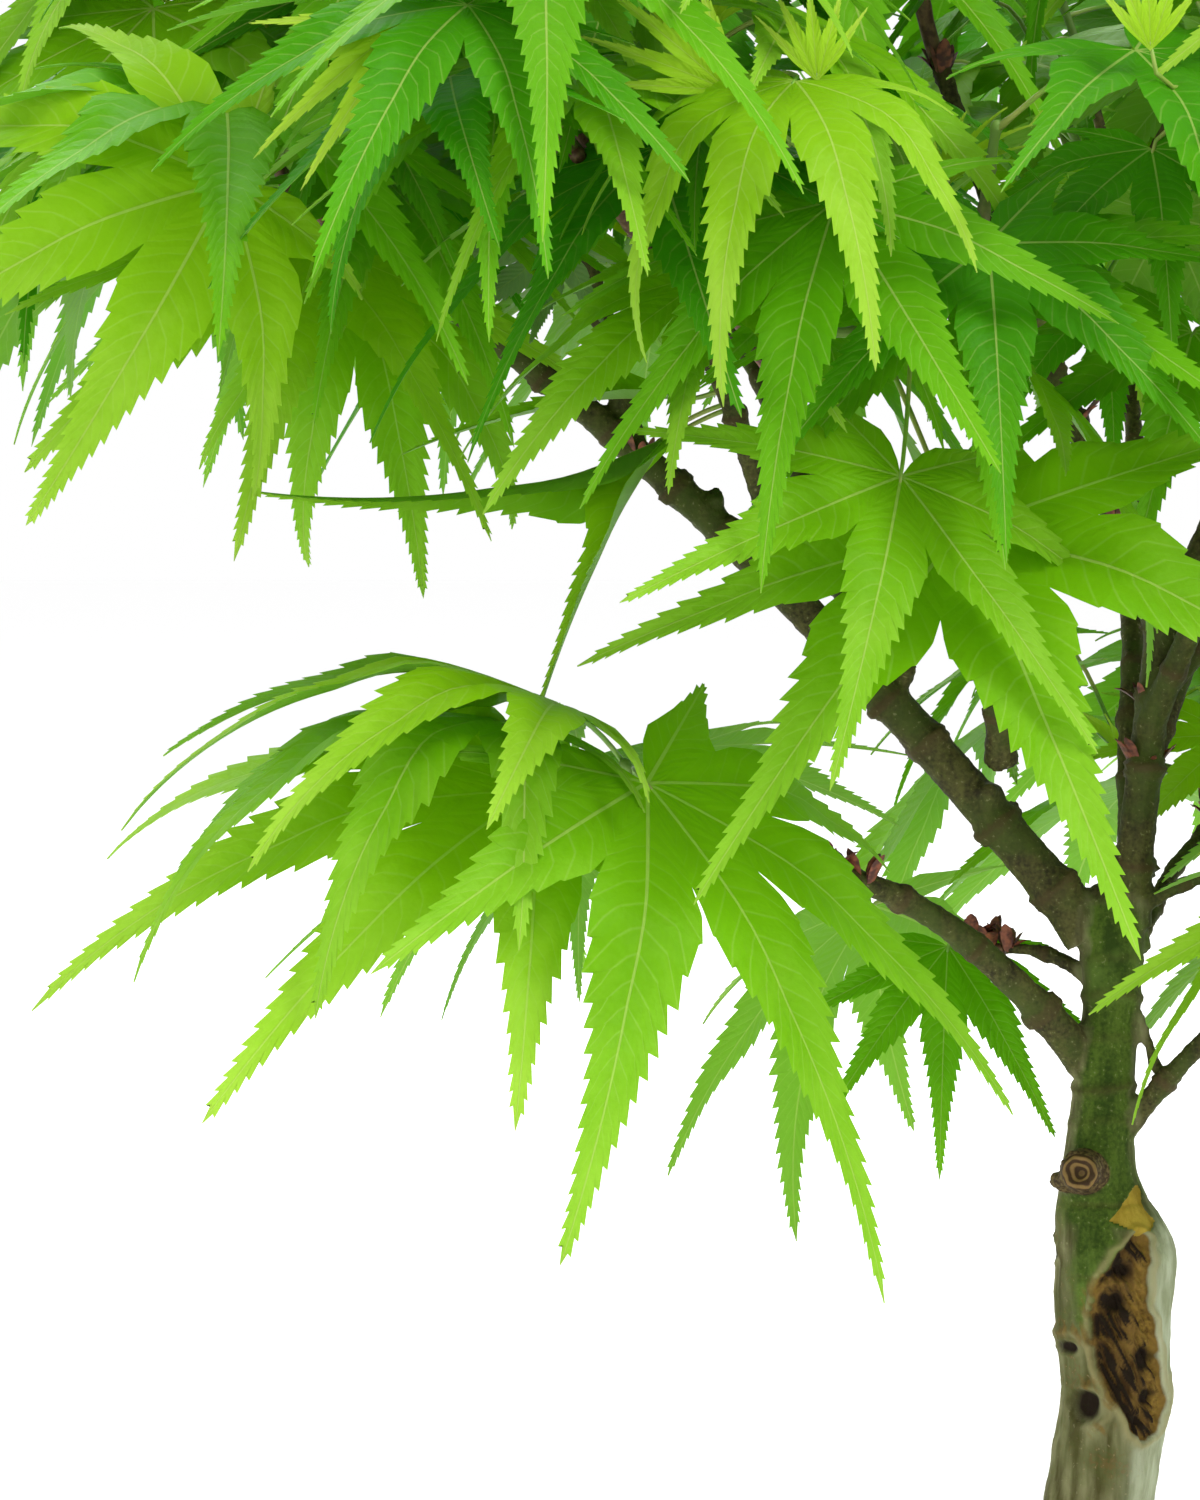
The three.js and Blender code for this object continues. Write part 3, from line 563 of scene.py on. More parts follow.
# Painted light: a paler grey on the old bark that faces right.
lit_side_bark = bark.mix(streak.rise(0.4, 0.6), srgb(150, 156, 124), srgb(184, 190, 164))
grey = bark.mix(bark.value("pale") * 0.8, grey, lit_side_bark)
green = bark.mix((streak * 0.6 + fleck * 0.4).rise(0.4, 0.6), srgb(42, 60, 10), srgb(74, 94, 28))
green = bark.mix(blotch.rise(0.5, 0.64) * 0.5, green, srgb(100, 124, 52))
olive = bark.mix((streak * 0.5 + fleck * 0.5).rise(0.38, 0.62), srgb(42, 38, 16), srgb(84, 82, 40))
olive = bark.mix(blotch.rise(0.42, 0.6) * 0.7, olive, srgb(62, 76, 22))
olive = bark.mix(bark.value("ring") * 0.45, olive, srgb(72, 54, 30))
open_wood = bark.mix(streak.rise(0.4, 0.6), srgb(62, 42, 16), srgb(112, 86, 40))
yellowed = bark.value("ochre") * (0.35 + 0.6 * fleck.rise(0.35, 0.6))
open_wood = bark.mix(yellowed, open_wood, srgb(134, 106, 44))
open_share = bark.value("wound") + bark.value("ochre") * (1 - bark.value("wound"))
rings = bark.value("from_cut") * RINGS_TO_MM
rings = rings.maths("SINE", rings, 0)
end_grain = bark.mix(rings.rise(-0.4, 0.7), srgb(58, 40, 20), srgb(124, 98, 56))
callus = bark.mix(fleck.rise(0.42, 0.6), srgb(58, 44, 24), srgb(100, 84, 50))
bare_wood = bark.mix(streak.rise(0.4, 0.6), srgb(140, 116, 34), srgb(166, 142, 52))
layers = [  # how much of each layer shows, and its colour, from the lowest to the topmost
    (bark.value("young").rise(0.2, 0.9), olive),
    (fleck.rise(0.66, 0.7) * 0.25, srgb(160, 158, 118)),
    (bark.value("ring") * 0.5, srgb(70, 58, 30)),
    (bark.value("lip") * 0.6, srgb(150, 140, 96)),
    (open_share.rise(0.15, 0.6), open_wood),
    (bark.value("stub").rise(0.2, 0.6), callus),
    (bark.value("cut_face").rise(0.3, 0.6), end_grain),
    # Near black: the wound's dark wood, with painted shade in the hollows, painted shadow under the pruned
    # stub and the darker middle of the cut face.
    (bark.value("dark").rise(0.12, 0.8), srgb(30, 20, 8)),
    (bark.value("bare").rise(0.4, 0.6), bare_wood),
]
colour = bark.mix((bark.value("moss") + (blotch - 0.5) * 0.8).rise(0.2, 0.7), grey, green)
for shown, layer in layers:
    colour = bark.mix(shown, colour, layer)
bark.set(bark.surface, {"Base Color": colour, "Roughness": 0.9 - bark.value("young") * 0.2})
bark.bump(streak * 0.6 + fleck * 0.5, 0.35, 0.8)
mesh.materials.append(bark.made)
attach(wood, "root")
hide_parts("trunk", *BOUGHS)


# Growth: masses of foliage stand on the boughs' tips. A stem goes on from the bough, parts into twigs, and
# each twig ends in a spray of leaves. The rule and its numbers are the solids' own, so every leaf lies where
# its solid does.
def foliage(bough, heart, pad, sprays, hang, space=None):
    """A mass: its bough, middle and half-size, its number of sprays, how its leaves hang, and its reach."""
    return dict(bough=bough, heart=heart, pad=pad, sprays=sprays, hang=hang, space=space)


MASSES = {
    "low_left_mass": foliage("low_left_bough", [-73, -46, 131], [20, 24, 9], 4, 16, space=[60, 70, 75]),
    "far_left_mass": foliage("left_bough", [-127, -6, 226], [18, 40, 20], 5, 24),
    "left_top_mass": foliage("left_riser", [-92, -6, 262], [40, 40, 15], 5, 18),
    "front_left_mass": foliage("front_left_bough", [-78, -62, 232], [32, 24, 16], 5, 20),
    "middle_left_mass": foliage("middle_left_bough", [-56, 20, 214], [24, 22, 14], 4, 20),
    "front_mass": foliage("front_bough", [-24, -66, 212], [26, 20, 24], 5, 26),
    "crown_top_mass": foliage("top_left_bough", [-18, 2, 304], [50, 48, 12], 6, 12),
    "top_right_mass": foliage("top_right_bough", [62, 14, 280], [44, 42, 16], 5, 16),
    "right_mass": foliage("right_bough", [104, -6, 222], [30, 42, 20], 5, 22),
    "low_right_mass": foliage("low_right_bough", [74, -26, 128], [24, 26, 8], 4, 16),
    "front_right_mass": foliage("front_right_bough", [52, -70, 236], [34, 28, 20], 5, 22),
    "back_mass": foliage("back_bough", [12, 98, 240], [36, 30, 22], 5, 20),
    "back_left_mass": foliage("back_left_bough", [-78, 72, 258], [34, 32, 18], 5, 16),
    "back_right_mass": foliage("back_right_bough", [72, 80, 246], [34, 32, 22], 5, 20),
    "low_back_mass": foliage("low_back_bough", [32, 52, 134], [24, 22, 8], 3, 16),
    "inner_mass": foliage("inner_bough", [-19, 16, 108], [4, 4, 2], 1, 30),
}
LEAF_LENGTH = 66
PETIOLE_LENGTH = 20
CLEARANCE = 0.3
GOLDEN_ANGLE = 137.5
# The leaves of a spray: how each turns and its petiole rises, its size, and how far back on its twig it is
SLOTS = [
    dict(turn=54, rise=30, size=1, back=1.2),
    dict(turn=-60, rise=8, size=1.04, back=3.4),
    dict(turn=4, rise=52, size=0.74, back=0.6),
    dict(turn=122, rise=-6, size=1.06, back=8),
    dict(turn=-128, rise=12, size=0.96, back=10.2),
]
TRIES = 11
SWING, TIP_IN, SHRINK = 11, 7, 0.03
LOBES = 7
LOBE_ANGLES = np.radians([-115, -74, -37, 0, 37, 74, 115])
LOBE_LONG = [0.42, 0.74, 0.93, 1, 0.93, 0.74, 0.42]
LOBE_WIDE = [0.05, 0.09, 0.105, 0.105, 0.105, 0.09, 0.05]
SINUS, OUTER_SINUS = 0.24, 0.2
SHOULDER = 0.42
FOLD = 0.22
FLAT = np.zeros(LOBES)
# Leaves set one by one, as in the solids: foot and tip of the middle lobe, the way the leaf faces, how far it
# bends, the number of its lobes' own curls, how far they spread and which tint it has
SET_KEY, SHOOT_KEY = 90, 91
SET_LEAVES = {
    "low_left_mass": [
        ([-68, -69, 137], [-35, -90, 66], [0.29, -0.42, 0.86], 0.68, 19, 1.05, "front"),
        ([-84, -58, 135], [-156, -64, 104], [-0.49, -0.59, 0.64], 0.99, 48, 1, "lime"),
        ([-89, -57, 145], [-140, -81, 110], [0, -0.04, 1], 1.4, 26, 1, "front"),
        ([-81, -64, 148], [-142, -77, 131], [0, -0.03, 1], 1.3, 39, 1, "lime"),
    ],
    "front_mass": [
        ([-20, -67, 213], [-20, -110, 169], [-0.31, -0.79, 0.53], 0.34, 55, 1.03, "mid"),
        ([-33, -88, 181], [-44, -121, 140], [0.08, -1, 0], 0.39, 49, 1.15, "front"),
        ([-24, -77, 173], [-3, -127, 118], [-0.12, -0.79, 0.61], 0.4, 21, 1.3, "front"),
        ([-42, -88, 219], [-53, -113, 166], [-0.4, -0.9, 0.2], 0.5, 51, 1, "mid"),
    ],
    "front_left_mass": [([-48, -96, 235], [-58, -111, 191], [-0.16, -0.54, 0.83], 1.7, 38, 1, "lime")],
    "far_left_mass": [
        ([-127, -71, 222], [-177, -55, 196], [0.05, -0.95, 0.3], 1.6, 4, 1.15, "lime"),
        ([-111, 10, 207], [-102, 9, 160], [0, -0.8, 0.6], 1.6, 11, 0.95, "front"),
    ],
    "inner_mass": [([-20, 16, 105], [-22, 2, 70], [-0.1, -1, 0.3], 0.6, 44, 0.85, "mid")],
}


def unit(vectors):
    return vectors / np.linalg.norm(vectors, axis=-1, keepdims=True)


def limb_end(spec):
    """The point and the direction of a limb's tip."""
    rise = spec["rise"] - spec["arch"] * math.pi
    return limb_points(spec, 1.0)[0], unit(towards(spec["heading"]) * spec["reach"] + UP * rise)


def bezier(points, t):
    """Points of the curve that a list of three or four control points makes."""
    points = [np.broadcast_to(p, (len(t), 3)) for p in points]
    t = np.asarray(t)[:, None]
    while len(points) > 1:
        points = [a + (b - a) * t for a, b in zip(points, points[1:])]
    return points[0]


def rotated(vector, axis, angle):
    """A vector turned about a unit axis by an angle in radians."""
    along = axis * np.dot(axis, vector)
    across = vector - along
    return along + across * math.cos(angle) + np.cross(axis, vector) * math.sin(angle)


def leaf_frame(base, forward, facing):
    ahead = unit(forward)
    normal = unit(facing - ahead * np.dot(facing, ahead))
    return base, np.array([ahead, np.cross(normal, ahead), normal])


def blade_points(leaf, lobe, s, t, lift=0.0):
    """Places points of a leaf. They are given as their lobe and their distance along and across it, in shares
    of the leaf. Near its foot they lie on one dome, and further out each lobe curls by itself."""
    angle = LOBE_ANGLES[lobe] * leaf["spread"]
    palm_only = 1 - ease(s, SINUS, SHOULDER)
    t = t * (1 + (leaf["spread"] - 1) * palm_only)
    far, turn = np.hypot(s, t), angle + np.arctan2(t, s)
    common = leaf["bends"][3] * 0.6
    level = np.sin(common * far) / common
    palm = np.stack([level * np.cos(turn), level * np.sin(turn), -(1 - np.cos(common * far)) / common], -1)
    own = leaf["bends"][lobe]
    out, drop = np.sin(own * s) / own, -(1 - np.cos(own * s)) / own
    c, d = np.cos(angle), np.sin(angle)
    finger = np.stack([out * c - t * d, out * d + t * c, drop], -1)
    local = palm + (finger - palm) * ease(s, SINUS, SINUS + 0.25)[..., None]
    twist = leaf.get("twist", FLAT)[lobe] * t * ease(s, SINUS, 0.6)
    lift = lift / leaf["length"] + leaf.get("fold", FOLD) * np.abs(t) + twist
    straight_up = np.stack([np.sin(own * s) * c, np.sin(own * s) * d, np.cos(own * s)], -1)
    local = (local + straight_up * lift[..., None]) * leaf["length"]
    base, axes = leaf["frame"]
    return base + local @ axes


def lobe_bends(bend, keys):
    """How far each lobe curls, in radians."""
    return np.array([max(0.15, bend + jitter(*keys, 20 + i, 0.3)) for i in range(LOBES)])


def spray_node(spray, back):
    """The place on a spray's twig that is so far back from its tip."""
    far = np.linalg.norm(spray["back"])
    return spray["point"] + spray["back"] / far * min(far, back)


def ruled_leaf(owner, spray, j, attempt):
    """Leaf j of a spray, on its given try: each try turns and tips it a little more."""
    keys = (owner["number"], spray["number"], j)
    slot = SLOTS[j]
    sign = 1 if chance(*keys, 1) < 0.5 else -1
    swing = SWING * math.ceil(attempt / 2) * (-1 if attempt % 2 else 1) * sign
    heading = spray["heading"] + slot["turn"] + jitter(*keys, 2, 12) + swing
    pitch = owner["mass"]["hang"] + jitter(*keys, 3, 9) + TIP_IN * (attempt % 3)
    length = LEAF_LENGTH * slot["size"] * (0.86 + 0.24 * chance(*keys, 4)) * (1 - SHRINK * attempt)
    petiole = towards(heading, jitter(*keys, 7, 8) - slot["rise"])
    node = spray_node(spray, slot["back"])
    base = node + petiole * PETIOLE_LENGTH * (0.8 + 0.5 * chance(*keys, 5 + attempt))
    forward = towards(heading, pitch)
    facing = rotated(UP, forward, math.radians(jitter(*keys, 6, 16)))
    return dict(
        spray=spray, keys=keys, node=node, length=length, bends=lobe_bends(0.65, keys), spread=1,
        frame=leaf_frame(base, forward, facing),
    )


def set_leaf(spec, number, sprays):
    """A listed leaf: it starts out towards its face and curls back to its tip."""
    foot, tip, face, bend, curl, spread, tint = spec
    base, face = np.array(foot, float), np.array(face, float)
    chord = tip - base
    length = np.linalg.norm(chord) * bend / 2 / math.sin(bend / 2)
    _, axes = leaf_frame(base, chord, face)
    forward = rotated(unit(chord), axes[1], -bend / 2)
    spray = min(sprays, key=lambda s: np.linalg.norm(s["point"] - base))
    bends = lobe_bends(bend, (SET_KEY, curl, 0))
    bends[3] = bend
    return dict(
        spray=spray, keys=(SET_KEY, number, 0), node=spray_node(spray, 5 + number), length=length,
        bends=bends, spread=spread, frame=leaf_frame(base, forward, face), tint=tint,
    )


def spray_of(number, mass, k):
    """Spray k of a mass: its place on the dome of the mass, and the way it points."""
    keys = (number, k, 0)
    heart = np.array(mass["heart"], float)
    share = math.sqrt((k + 0.35) / mass["sprays"])
    turn = math.radians(GOLDEN_ANGLE * k + 360 * chance(number, 0, 0, 9))
    pad = mass["pad"]
    offset = np.array([math.cos(turn) * pad[0] * share, math.sin(turn) * pad[1] * share, 0])
    dome = pad[2] * (0.8 - 1.5 * share * share) + jitter(*keys, 10, 3)
    outward = offset * 1.2 + heart * [0.35, 0.35, 0]
    heading = math.degrees(math.atan2(outward[1], outward[0]))
    return dict(point=heart + offset + UP * dome, share=share, heading=heading, number=k, leaves=[])


def grow_mass(name, number):
    """A mass's stem and the twigs of its sprays, as the control points of their curves."""
    mass = MASSES[name]
    tip, along = limb_end(BOUGHS[mass["bough"]])
    foot = tip + along * CLEARANCE
    heart = np.array(mass["heart"], float) - UP * 0.35 * mass["pad"][2]
    stem = [foot, foot + along * 0.4 * np.linalg.norm(heart - foot), heart]
    sprays = []
    for k in range(mass["sprays"]):
        spray = spray_of(number, mass, k)
        place = [1, 2 / 3, 1 / 3][min(2, int(2.4 * spray["share"] + 0.5))]
        start = bezier(stem, [place])[0]
        bow = (start + spray["point"]) / 2 + UP * 0.15 * np.linalg.norm(spray["point"] - start)
        spray["curve"] = [start, bow, spray["point"]]
        spray["back"] = bezier(spray["curve"], [0.5])[0] - spray["point"]
        sprays.append(spray)
    return dict(name=name, number=number, mass=mass, stem=stem, sprays=sprays)


# Which leaves stand: a leaf is one of the solids' if the solid has a corner at each of its three middle tips.
# A place that the solids leave empty takes a leaf too, where it crosses no limb and hardly any leaf and where
# the photograph shows neither sky nor open wood.
OUTLINE = [(i, s, 0.0) for i in range(LOBES) for s in (0.0, LOBE_LONG[i])]
for i in range(1, LOBES - 1):
    OUTLINE += [(i, SHOULDER * LOBE_LONG[i], side * LOBE_WIDE[i]) for side in (-1, 1)]
COARSE = tuple(np.array(column) for column in zip(*OUTLINE))
COARSE_FACES = []
for i in range(1, LOBES - 1):
    side = 2 * (LOBES - 1 + i)
    COARSE_FACES.append((2 * i, side, 2 * i + 1, side + 1))
SAME_PLACE = 0.15
MOST_CROSSINGS = 3
FULL_MASSES = ("low_left_mass", "front_mass", "inner_mass")
OPEN_VIEWS = [  # left, top, right and bottom of open places, in pixels of the photograph
    (-400, 590, 650, 700),
    (-400, 1130, 1045, 1600),
    (640, 600, 800, 770),
    (440, 480, 620, 700),
    (600, 430, 760, 560),
    (930, 690, 1060, 880),
    (1045, 850, 1150, 1500),
]


def coarse_points(leaf):
    """The few points that stand for a whole blade in the tests."""
    return blade_points(leaf, *COARSE)


def box_of(points):
    return points.min(axis=0), points.max(axis=0)


def boxes_meet(a, b):
    return bool(np.all(a[0] <= b[1]) and np.all(b[0] <= a[1]))


standing = []
limb_trees = []
for name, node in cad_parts.items():
    if not name.endswith("_mass"):
        corners_at = vectors_of(node.data.vertices, "co") / MM
        faces = [tuple(p.vertices) for p in node.data.polygons]
        limb_trees.append((box_of(corners_at), BVHTree.FromPolygons(corners_at.tolist(), faces)))


def stand(leaf):
    """Gives a leaf to its spray, and its blade to those that later leaves are tested against."""
    leaf["spray"]["leaves"].append(leaf)
    points = coarse_points(leaf)
    standing.append((box_of(points), BVHTree.FromPolygons(points.tolist(), COARSE_FACES)))


def tips_in(tree, leaf):
    """Whether a solid has a corner at each of a leaf's three middle tips."""
    lobe = np.array([2, 3, 4])
    tips = blade_points(leaf, lobe, np.array([LOBE_LONG[i] for i in lobe]), np.zeros(3))
    return all(tree.find(tip)[2] < SAME_PLACE for tip in tips)


def covers_open_view(points):
    """Whether a blade would hide a place that is open in the photograph."""
    across, down = in_photo(points)
    return any(
        np.any((across > left) & (across < right) & (down > top) & (down < bottom))
        for left, top, right, bottom in OPEN_VIEWS
    )


def fits(owner, leaf):
    """Whether a further leaf keeps to its mass's space and to the tree's box, and crosses next to nothing."""
    points = coarse_points(leaf)
    low, high = box_of(points)
    mass = owner["mass"]
    space = mass["space"] or [half + LEAF_LENGTH * 1.2 + PETIOLE_LENGTH for half in mass["pad"]]
    heart = np.array(mass["heart"])
    if np.any(low < heart - space) or np.any(high > heart + space):
        return False
    if np.any(low * MM < np.array(cad_low)) or np.any(high * MM > np.array(cad_high)):
        return False
    if covers_open_view(points):
        return False
    blade = BVHTree.FromPolygons(points.tolist(), COARSE_FACES)
    limbs = sum(len(blade.overlap(tree)) for box, tree in limb_trees if boxes_meet((low, high), box))
    leaves = sum(len(blade.overlap(tree)) for box, tree in standing if boxes_meet((low, high), box))
    return limbs == 0 and leaves <= MOST_CROSSINGS


# Leaves of the scene alone, where the photograph shows them, hung on the nearest limb or twig
HUNG_LEAVES = {
    "front_mass": [([-21, -88, 213], [-20, -112, 170], [0, -0.8, 0.6], 0.5, 24, 1.25, "shade")],
    "front_right_mass": [
        ([12, -40, 201], [1, -60, 164], [0, -0.9, 0.4], 0.8, 27, 1.1, "mid"),
        ([4, -60, 227], [5, -84, 194], [0, -0.8, 0.6], 0.8, 29, 1.1, "shade"),
        ([1, -14, 206], [2, -26, 176], [0.1, -0.9, 0.4], 0.7, 33, 1.2, "shade"),
    ],
    "right_mass": [([26, 30, 137], [5, 20, 118], [0.2, -0.8, 0.6], 0.8, 35, 1, "lime")],
    "far_left_mass": [([-81, -20, 215], [-97, -34, 203], [0.1, 0.9, -0.4], 0.7, 31, 0.9, "pale")],
}
EDGE_LEAVES = [  # single blades seen from their edge
    ([-61, -14, 191], [-104, -30, 183], [0.05, -0.5, 1], 0.5, 12, 1, "front"),
    ([-61, -14, 187], [-126, -44, 178], [0.05, -0.6, -1], 0.6, 15, 1, "front"),
    ([-64, -16, 186], [-84, -44, 144], [-0.9, -0.7, 0.3], 0.3, 22, 1, "lime"),
]
EDGE = dict(blade="edge", slim=0.5, fold=0.9)
HUNG_FROM = 20


def hung_leaf(spec, number, sprays):
    """A listed leaf whose petiole comes from the nearest point of the wood or of the twigs' ends."""
    leaf = set_leaf(spec, number, sprays)
    nodes = [centre for centres, _ in limb_lines for centre in centres] + [s["point"] for s in sprays]
    leaf["node"] = min(nodes, key=lambda node: np.linalg.norm(node - leaf["frame"][0]))
    return leaf


grown = {name: grow_mass(name, number + 1) for number, name in enumerate(MASSES)}
corners = {name: tree_of([v.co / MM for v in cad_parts[name].data.vertices]) for name in MASSES}
numbered = [(name, spec) for name, specs in SET_LEAVES.items() for spec in specs]
for number, (name, spec) in enumerate(numbered):
    leaf = set_leaf(spec, number, grown[name]["sprays"])
    if tips_in(corners[name], leaf):
        stand(leaf)
empty_places = []
for j in range(len(SLOTS)):
    for name, owner in grown.items():
        for spray in owner["sprays"]:
            tries = [ruled_leaf(owner, spray, j, attempt) for attempt in range(TRIES)]
            same = [leaf for leaf in tries if tips_in(corners[name], leaf)]
            if same:
                stand(same[0])
            elif name not in FULL_MASSES:
                empty_places.append((owner, tries))
solid_leaves = len(standing)
for name, specs in HUNG_LEAVES.items():
    for k, spec in enumerate(specs):
        stand(hung_leaf(spec, HUNG_FROM + 10 * grown[name]["number"] + k, grown[name]["sprays"]))
for k, spec in enumerate(EDGE_LEAVES):
    stand(hung_leaf(spec, HUNG_FROM + k, grown["far_left_mass"]["sprays"]) | EDGE)
for owner, tries in empty_places:
    chosen = next((leaf for leaf in tries if fits(owner, leaf)), None)
    if chosen:
        stand(chosen)
print("leaves: in the solids", solid_leaves, "in all", len(standing))


# Leaf blades: thin, satin and let light through. Each spray has one of a few plain greens, deep in the shade
# of the crown and yellower outside; the greens from deep to lime are painted shade and painted light. Tips
# are paler than the palm, whose darker green is partly painted shade, and the underside is paler and greyer.
TINTS = {  # the palm, the tips and the light that comes through
    # The tints deep and shade are painted shade and front and lime painted light, with mid between; young,
    # underside and pale are the leaves' own greens.
    "deep": (srgb(52, 124, 3), srgb(78, 152, 10), srgb(100, 196, 0)),
    "shade": (srgb(68, 142, 5), srgb(98, 170, 18), srgb(130, 212, 6)),
    "mid": (srgb(92, 162, 8), srgb(126, 192, 32), srgb(160, 222, 8)),
    "front": (srgb(116, 176, 12), srgb(160, 208, 62), srgb(184, 230, 14)),
    "lime": (srgb(138, 190, 20), srgb(180, 220, 76), srgb(202, 238, 26)),
    "young": (srgb(160, 204, 36), srgb(196, 224, 84), srgb(212, 240, 56)),
    "underside": (srgb(118, 170, 50), srgb(140, 188, 74), srgb(160, 216, 26)),
    "pale": (srgb(146, 176, 118), srgb(162, 190, 132), srgb(146, 196, 86)),
}
PALE_VEIN = srgb(206, 222, 120)
RIB_HALF = 0.0034
THROUGH = 0.42


def leaf_material(name, palm, tips, glow):
    material = Material(name, Roughness=0.5, Specular_IOR_Level=0.12)
    outward, beside = material.value("outward"), material.value("beside")
    patch, grain = material.noise(0.09, 2), material.noise(1.1, 4)
    tone = outward + (patch - 0.5) * 0.7 + (grain - 0.5) * 0.3
    # The palm is mixed towards a darker green than the tips, partly painted shade in the leaf's middle.
    colour = material.mix(tone.rise(0.35, 1.05), palm, tips)
    vein = material.value("vein")
    off_vein = vein.maths("PINGPONG", vein, 0.5)
    side_vein = 1 - off_vein.rise(0.02, 0.085)
    near_tip = outward.rise(0.55, 0.95)
    colour = material.mix(side_vein * outward.rise(0.05, 0.4) * (0.18 - near_tip * 0.12), colour, PALE_VEIN)
    half_rib = (1.12 - outward) * RIB_HALF
    rib = 1 - (beside - half_rib * 0.8).rise(0, RIB_HALF * 0.35)
    colour = material.mix(rib * 0.5, colour, PALE_VEIN)
    material.paint(colour)
    place = material.node("ShaderNodeTexCoord", {}, {}, "Object")
    net_inputs = {"Vector": place, "Scale": 0.9 / MM}
    net = material.node("ShaderNodeTexVoronoi", dict(feature="DISTANCE_TO_EDGE"), net_inputs)
    material.bump(off_vein * (1.1 - near_tip) + net * 0.5 + grain * 0.3 + rib * 0.5, 0.3, 0.5)
    light = material.node("ShaderNodeBsdfTranslucent", {}, {"Color": glow})
    body = Socket(material, material.surface.outputs[0])
    both = material.node("ShaderNodeMixShader", {}, {0: THROUGH, 1: body, 2: light})
    material.set(material.tree.nodes["Material Output"], {"Surface": both})
    return material.made


leaf_materials = [leaf_material(f"leaf_{name}", *tint) for name, tint in TINTS.items()]
TINT_SLOTS = {name: slot for slot, name in enumerate(TINTS)}

# A blade's outline: it is widest a third of the way out, narrows to a long point, and its rim has saw teeth
# that point forwards. Rows of points run across each lobe, two to a tooth, and slant forwards to the rim.
TOOTH, YOUNG_TOOTH = 0.055, 0.1
TOOTH_DEPTH = 0.015
HOOK_ROWS = ((0.84, 1.06, 1.0), (1.0, 0.93, -0.3))  # a row's place in a tooth, its rim's place and push
STAGGER = 0.16
WIDEST = 0.36
SLANT = 0.032
VEIN_SLOPE = 1.7
ACROSS = (-1.0, -0.5, 0.0, 0.5, 1.0)


def half_gap(i, side):
    """Half the angle to the next lobe, and how far out the gap between them begins."""
    other = i + side
    if not 0 <= other < LOBES:
        return None
    gap_far = OUTER_SINUS if {i, other} & {0, LOBES - 1} else SINUS
    return abs(LOBE_ANGLES[other] - LOBE_ANGLES[i]) / 2, gap_far


def half_width(i, side, s):
    """A lobe's half-width at a row, and whether its rim is free there."""
    gap = half_gap(i, side)
    start, least = (0.02, 0.012)
    if gap:
        start, least = gap[1] * math.cos(gap[0]), gap[1] * math.sin(gap[0])
        if s <= start + 1e-6:
            return s * math.tan(gap[0]), s > start - 1e-6
    long, wide = LOBE_LONG[i], LOBE_WIDE[i] * 0.96
    widest = max(WIDEST * long, start + 0.05)
    if s <= widest:
        return least + (wide - least) * math.sin(math.pi / 2 * max(0, s - start) / (widest - start)), True
    u = min(1, (s - widest) / (long - widest))
    return wide * (0.76 * (1 - u) ** 1.9 + 0.24 * (1 - u) ** 0.35), True


def lobe_rows(i, tooth):
    """Rows of a lobe: the place of the middle and of each rim, the rims' push and the number of teeth."""
    outer, inner = (far * math.cos(angle) for angle, far in (half_gap(0, 1), half_gap(LOBES // 2, 1)))
    palm = [0.05, 0.1, 0.15, outer] + ([] if i in (0, LOBES - 1) else [inner])
    rows = [(s, s, s, 0, number + 1) for number, s in enumerate(palm)]
    long, s, step, number = LOBE_LONG[i], palm[-1], tooth, len(palm)
    while s + step < long * 0.975:
        slant = SLANT * ease(s, palm[-1], palm[-1] + 0.2) * (1 - ease(s, 0.75 * long, long))
        depth = TOOTH_DEPTH * min(1, half_width(i, 1, s)[0] / LOBE_WIDE[i] + 0.25) * (0.5 + 0.5 * long)
        hook = ease(s, palm[-1], palm[-1] + 0.16)
        depth = depth * hook * (0.8 + 0.4 * chance(i, number, 0, 30))
        for along, rim, push in HOOK_ROWS:
            rim = along + (rim - along) * hook
            right, left = ((rim + side * STAGGER) * step + slant for side in (-1, 1))
            rows.append((s + along * step, s + right, s + left, push * depth, number + along))
        s, number = s + step, number + 1
        step = tooth * (1 - 0.4 * s / long)
    return rows + [(long, long, long, 0, number + 1)]


def blade_template(tooth, lobes):
    """A blade's points (lobe, distance along and across, share of the half-width, vein) and its faces."""
    points, index, upper, lower = [], {}, [], []

    def point(i, s, t, share, vein):
        angle = LOBE_ANGLES[i]
        flat = (s * math.cos(angle) - t * math.sin(angle), s * math.sin(angle) + t * math.cos(angle))
        key = (round(flat[0], 5), round(flat[1], 5))
        if key not in index:
            index[key] = len(points)
            points.append((i, s, t, share, vein))
        return index[key]

    centre = point(3, 0.0, 0.0, 0.0, 0.0)
    for i in lobes:
        before = None
        for s, right_s, left_s, push, number in lobe_rows(i, tooth):
            row = []
            for share in ACROSS:
                rim_s, side = (right_s, -1) if share < 0 else (left_s, 1)
                at = min(s + (rim_s - s) * share * share, LOBE_LONG[i])
                width, free = half_width(i, side, at)
                width = max(0.0008, width + push * (abs(share) == 1))
                vein = number - 0.85 + VEIN_SLOPE * (1 - abs(share) ** 1.3)
                at_rim = abs(share) == 1 and (free or len(lobes) == 1)
                row.append(point(i, at, share * width, abs(share) + at_rim, vein))
            for faces, step in ((upper, 1), (lower, 2)):
                for k in range(0, 4, step):
                    near = (before[k], before[k + step]) if before else (centre, row[k + step])
                    faces.append((near[0], row[k], row[k + step], near[1]))
            before = row
    columns = [np.array(column) for column in zip(*points)]
    return columns, np.array(upper), np.array(lower)


def split_faces(faces):
    """Four-sided faces, and the three-sided ones that repeat a corner."""
    same = faces[:, 2] == faces[:, 3]
    return faces[~same], faces[same][:, :3]


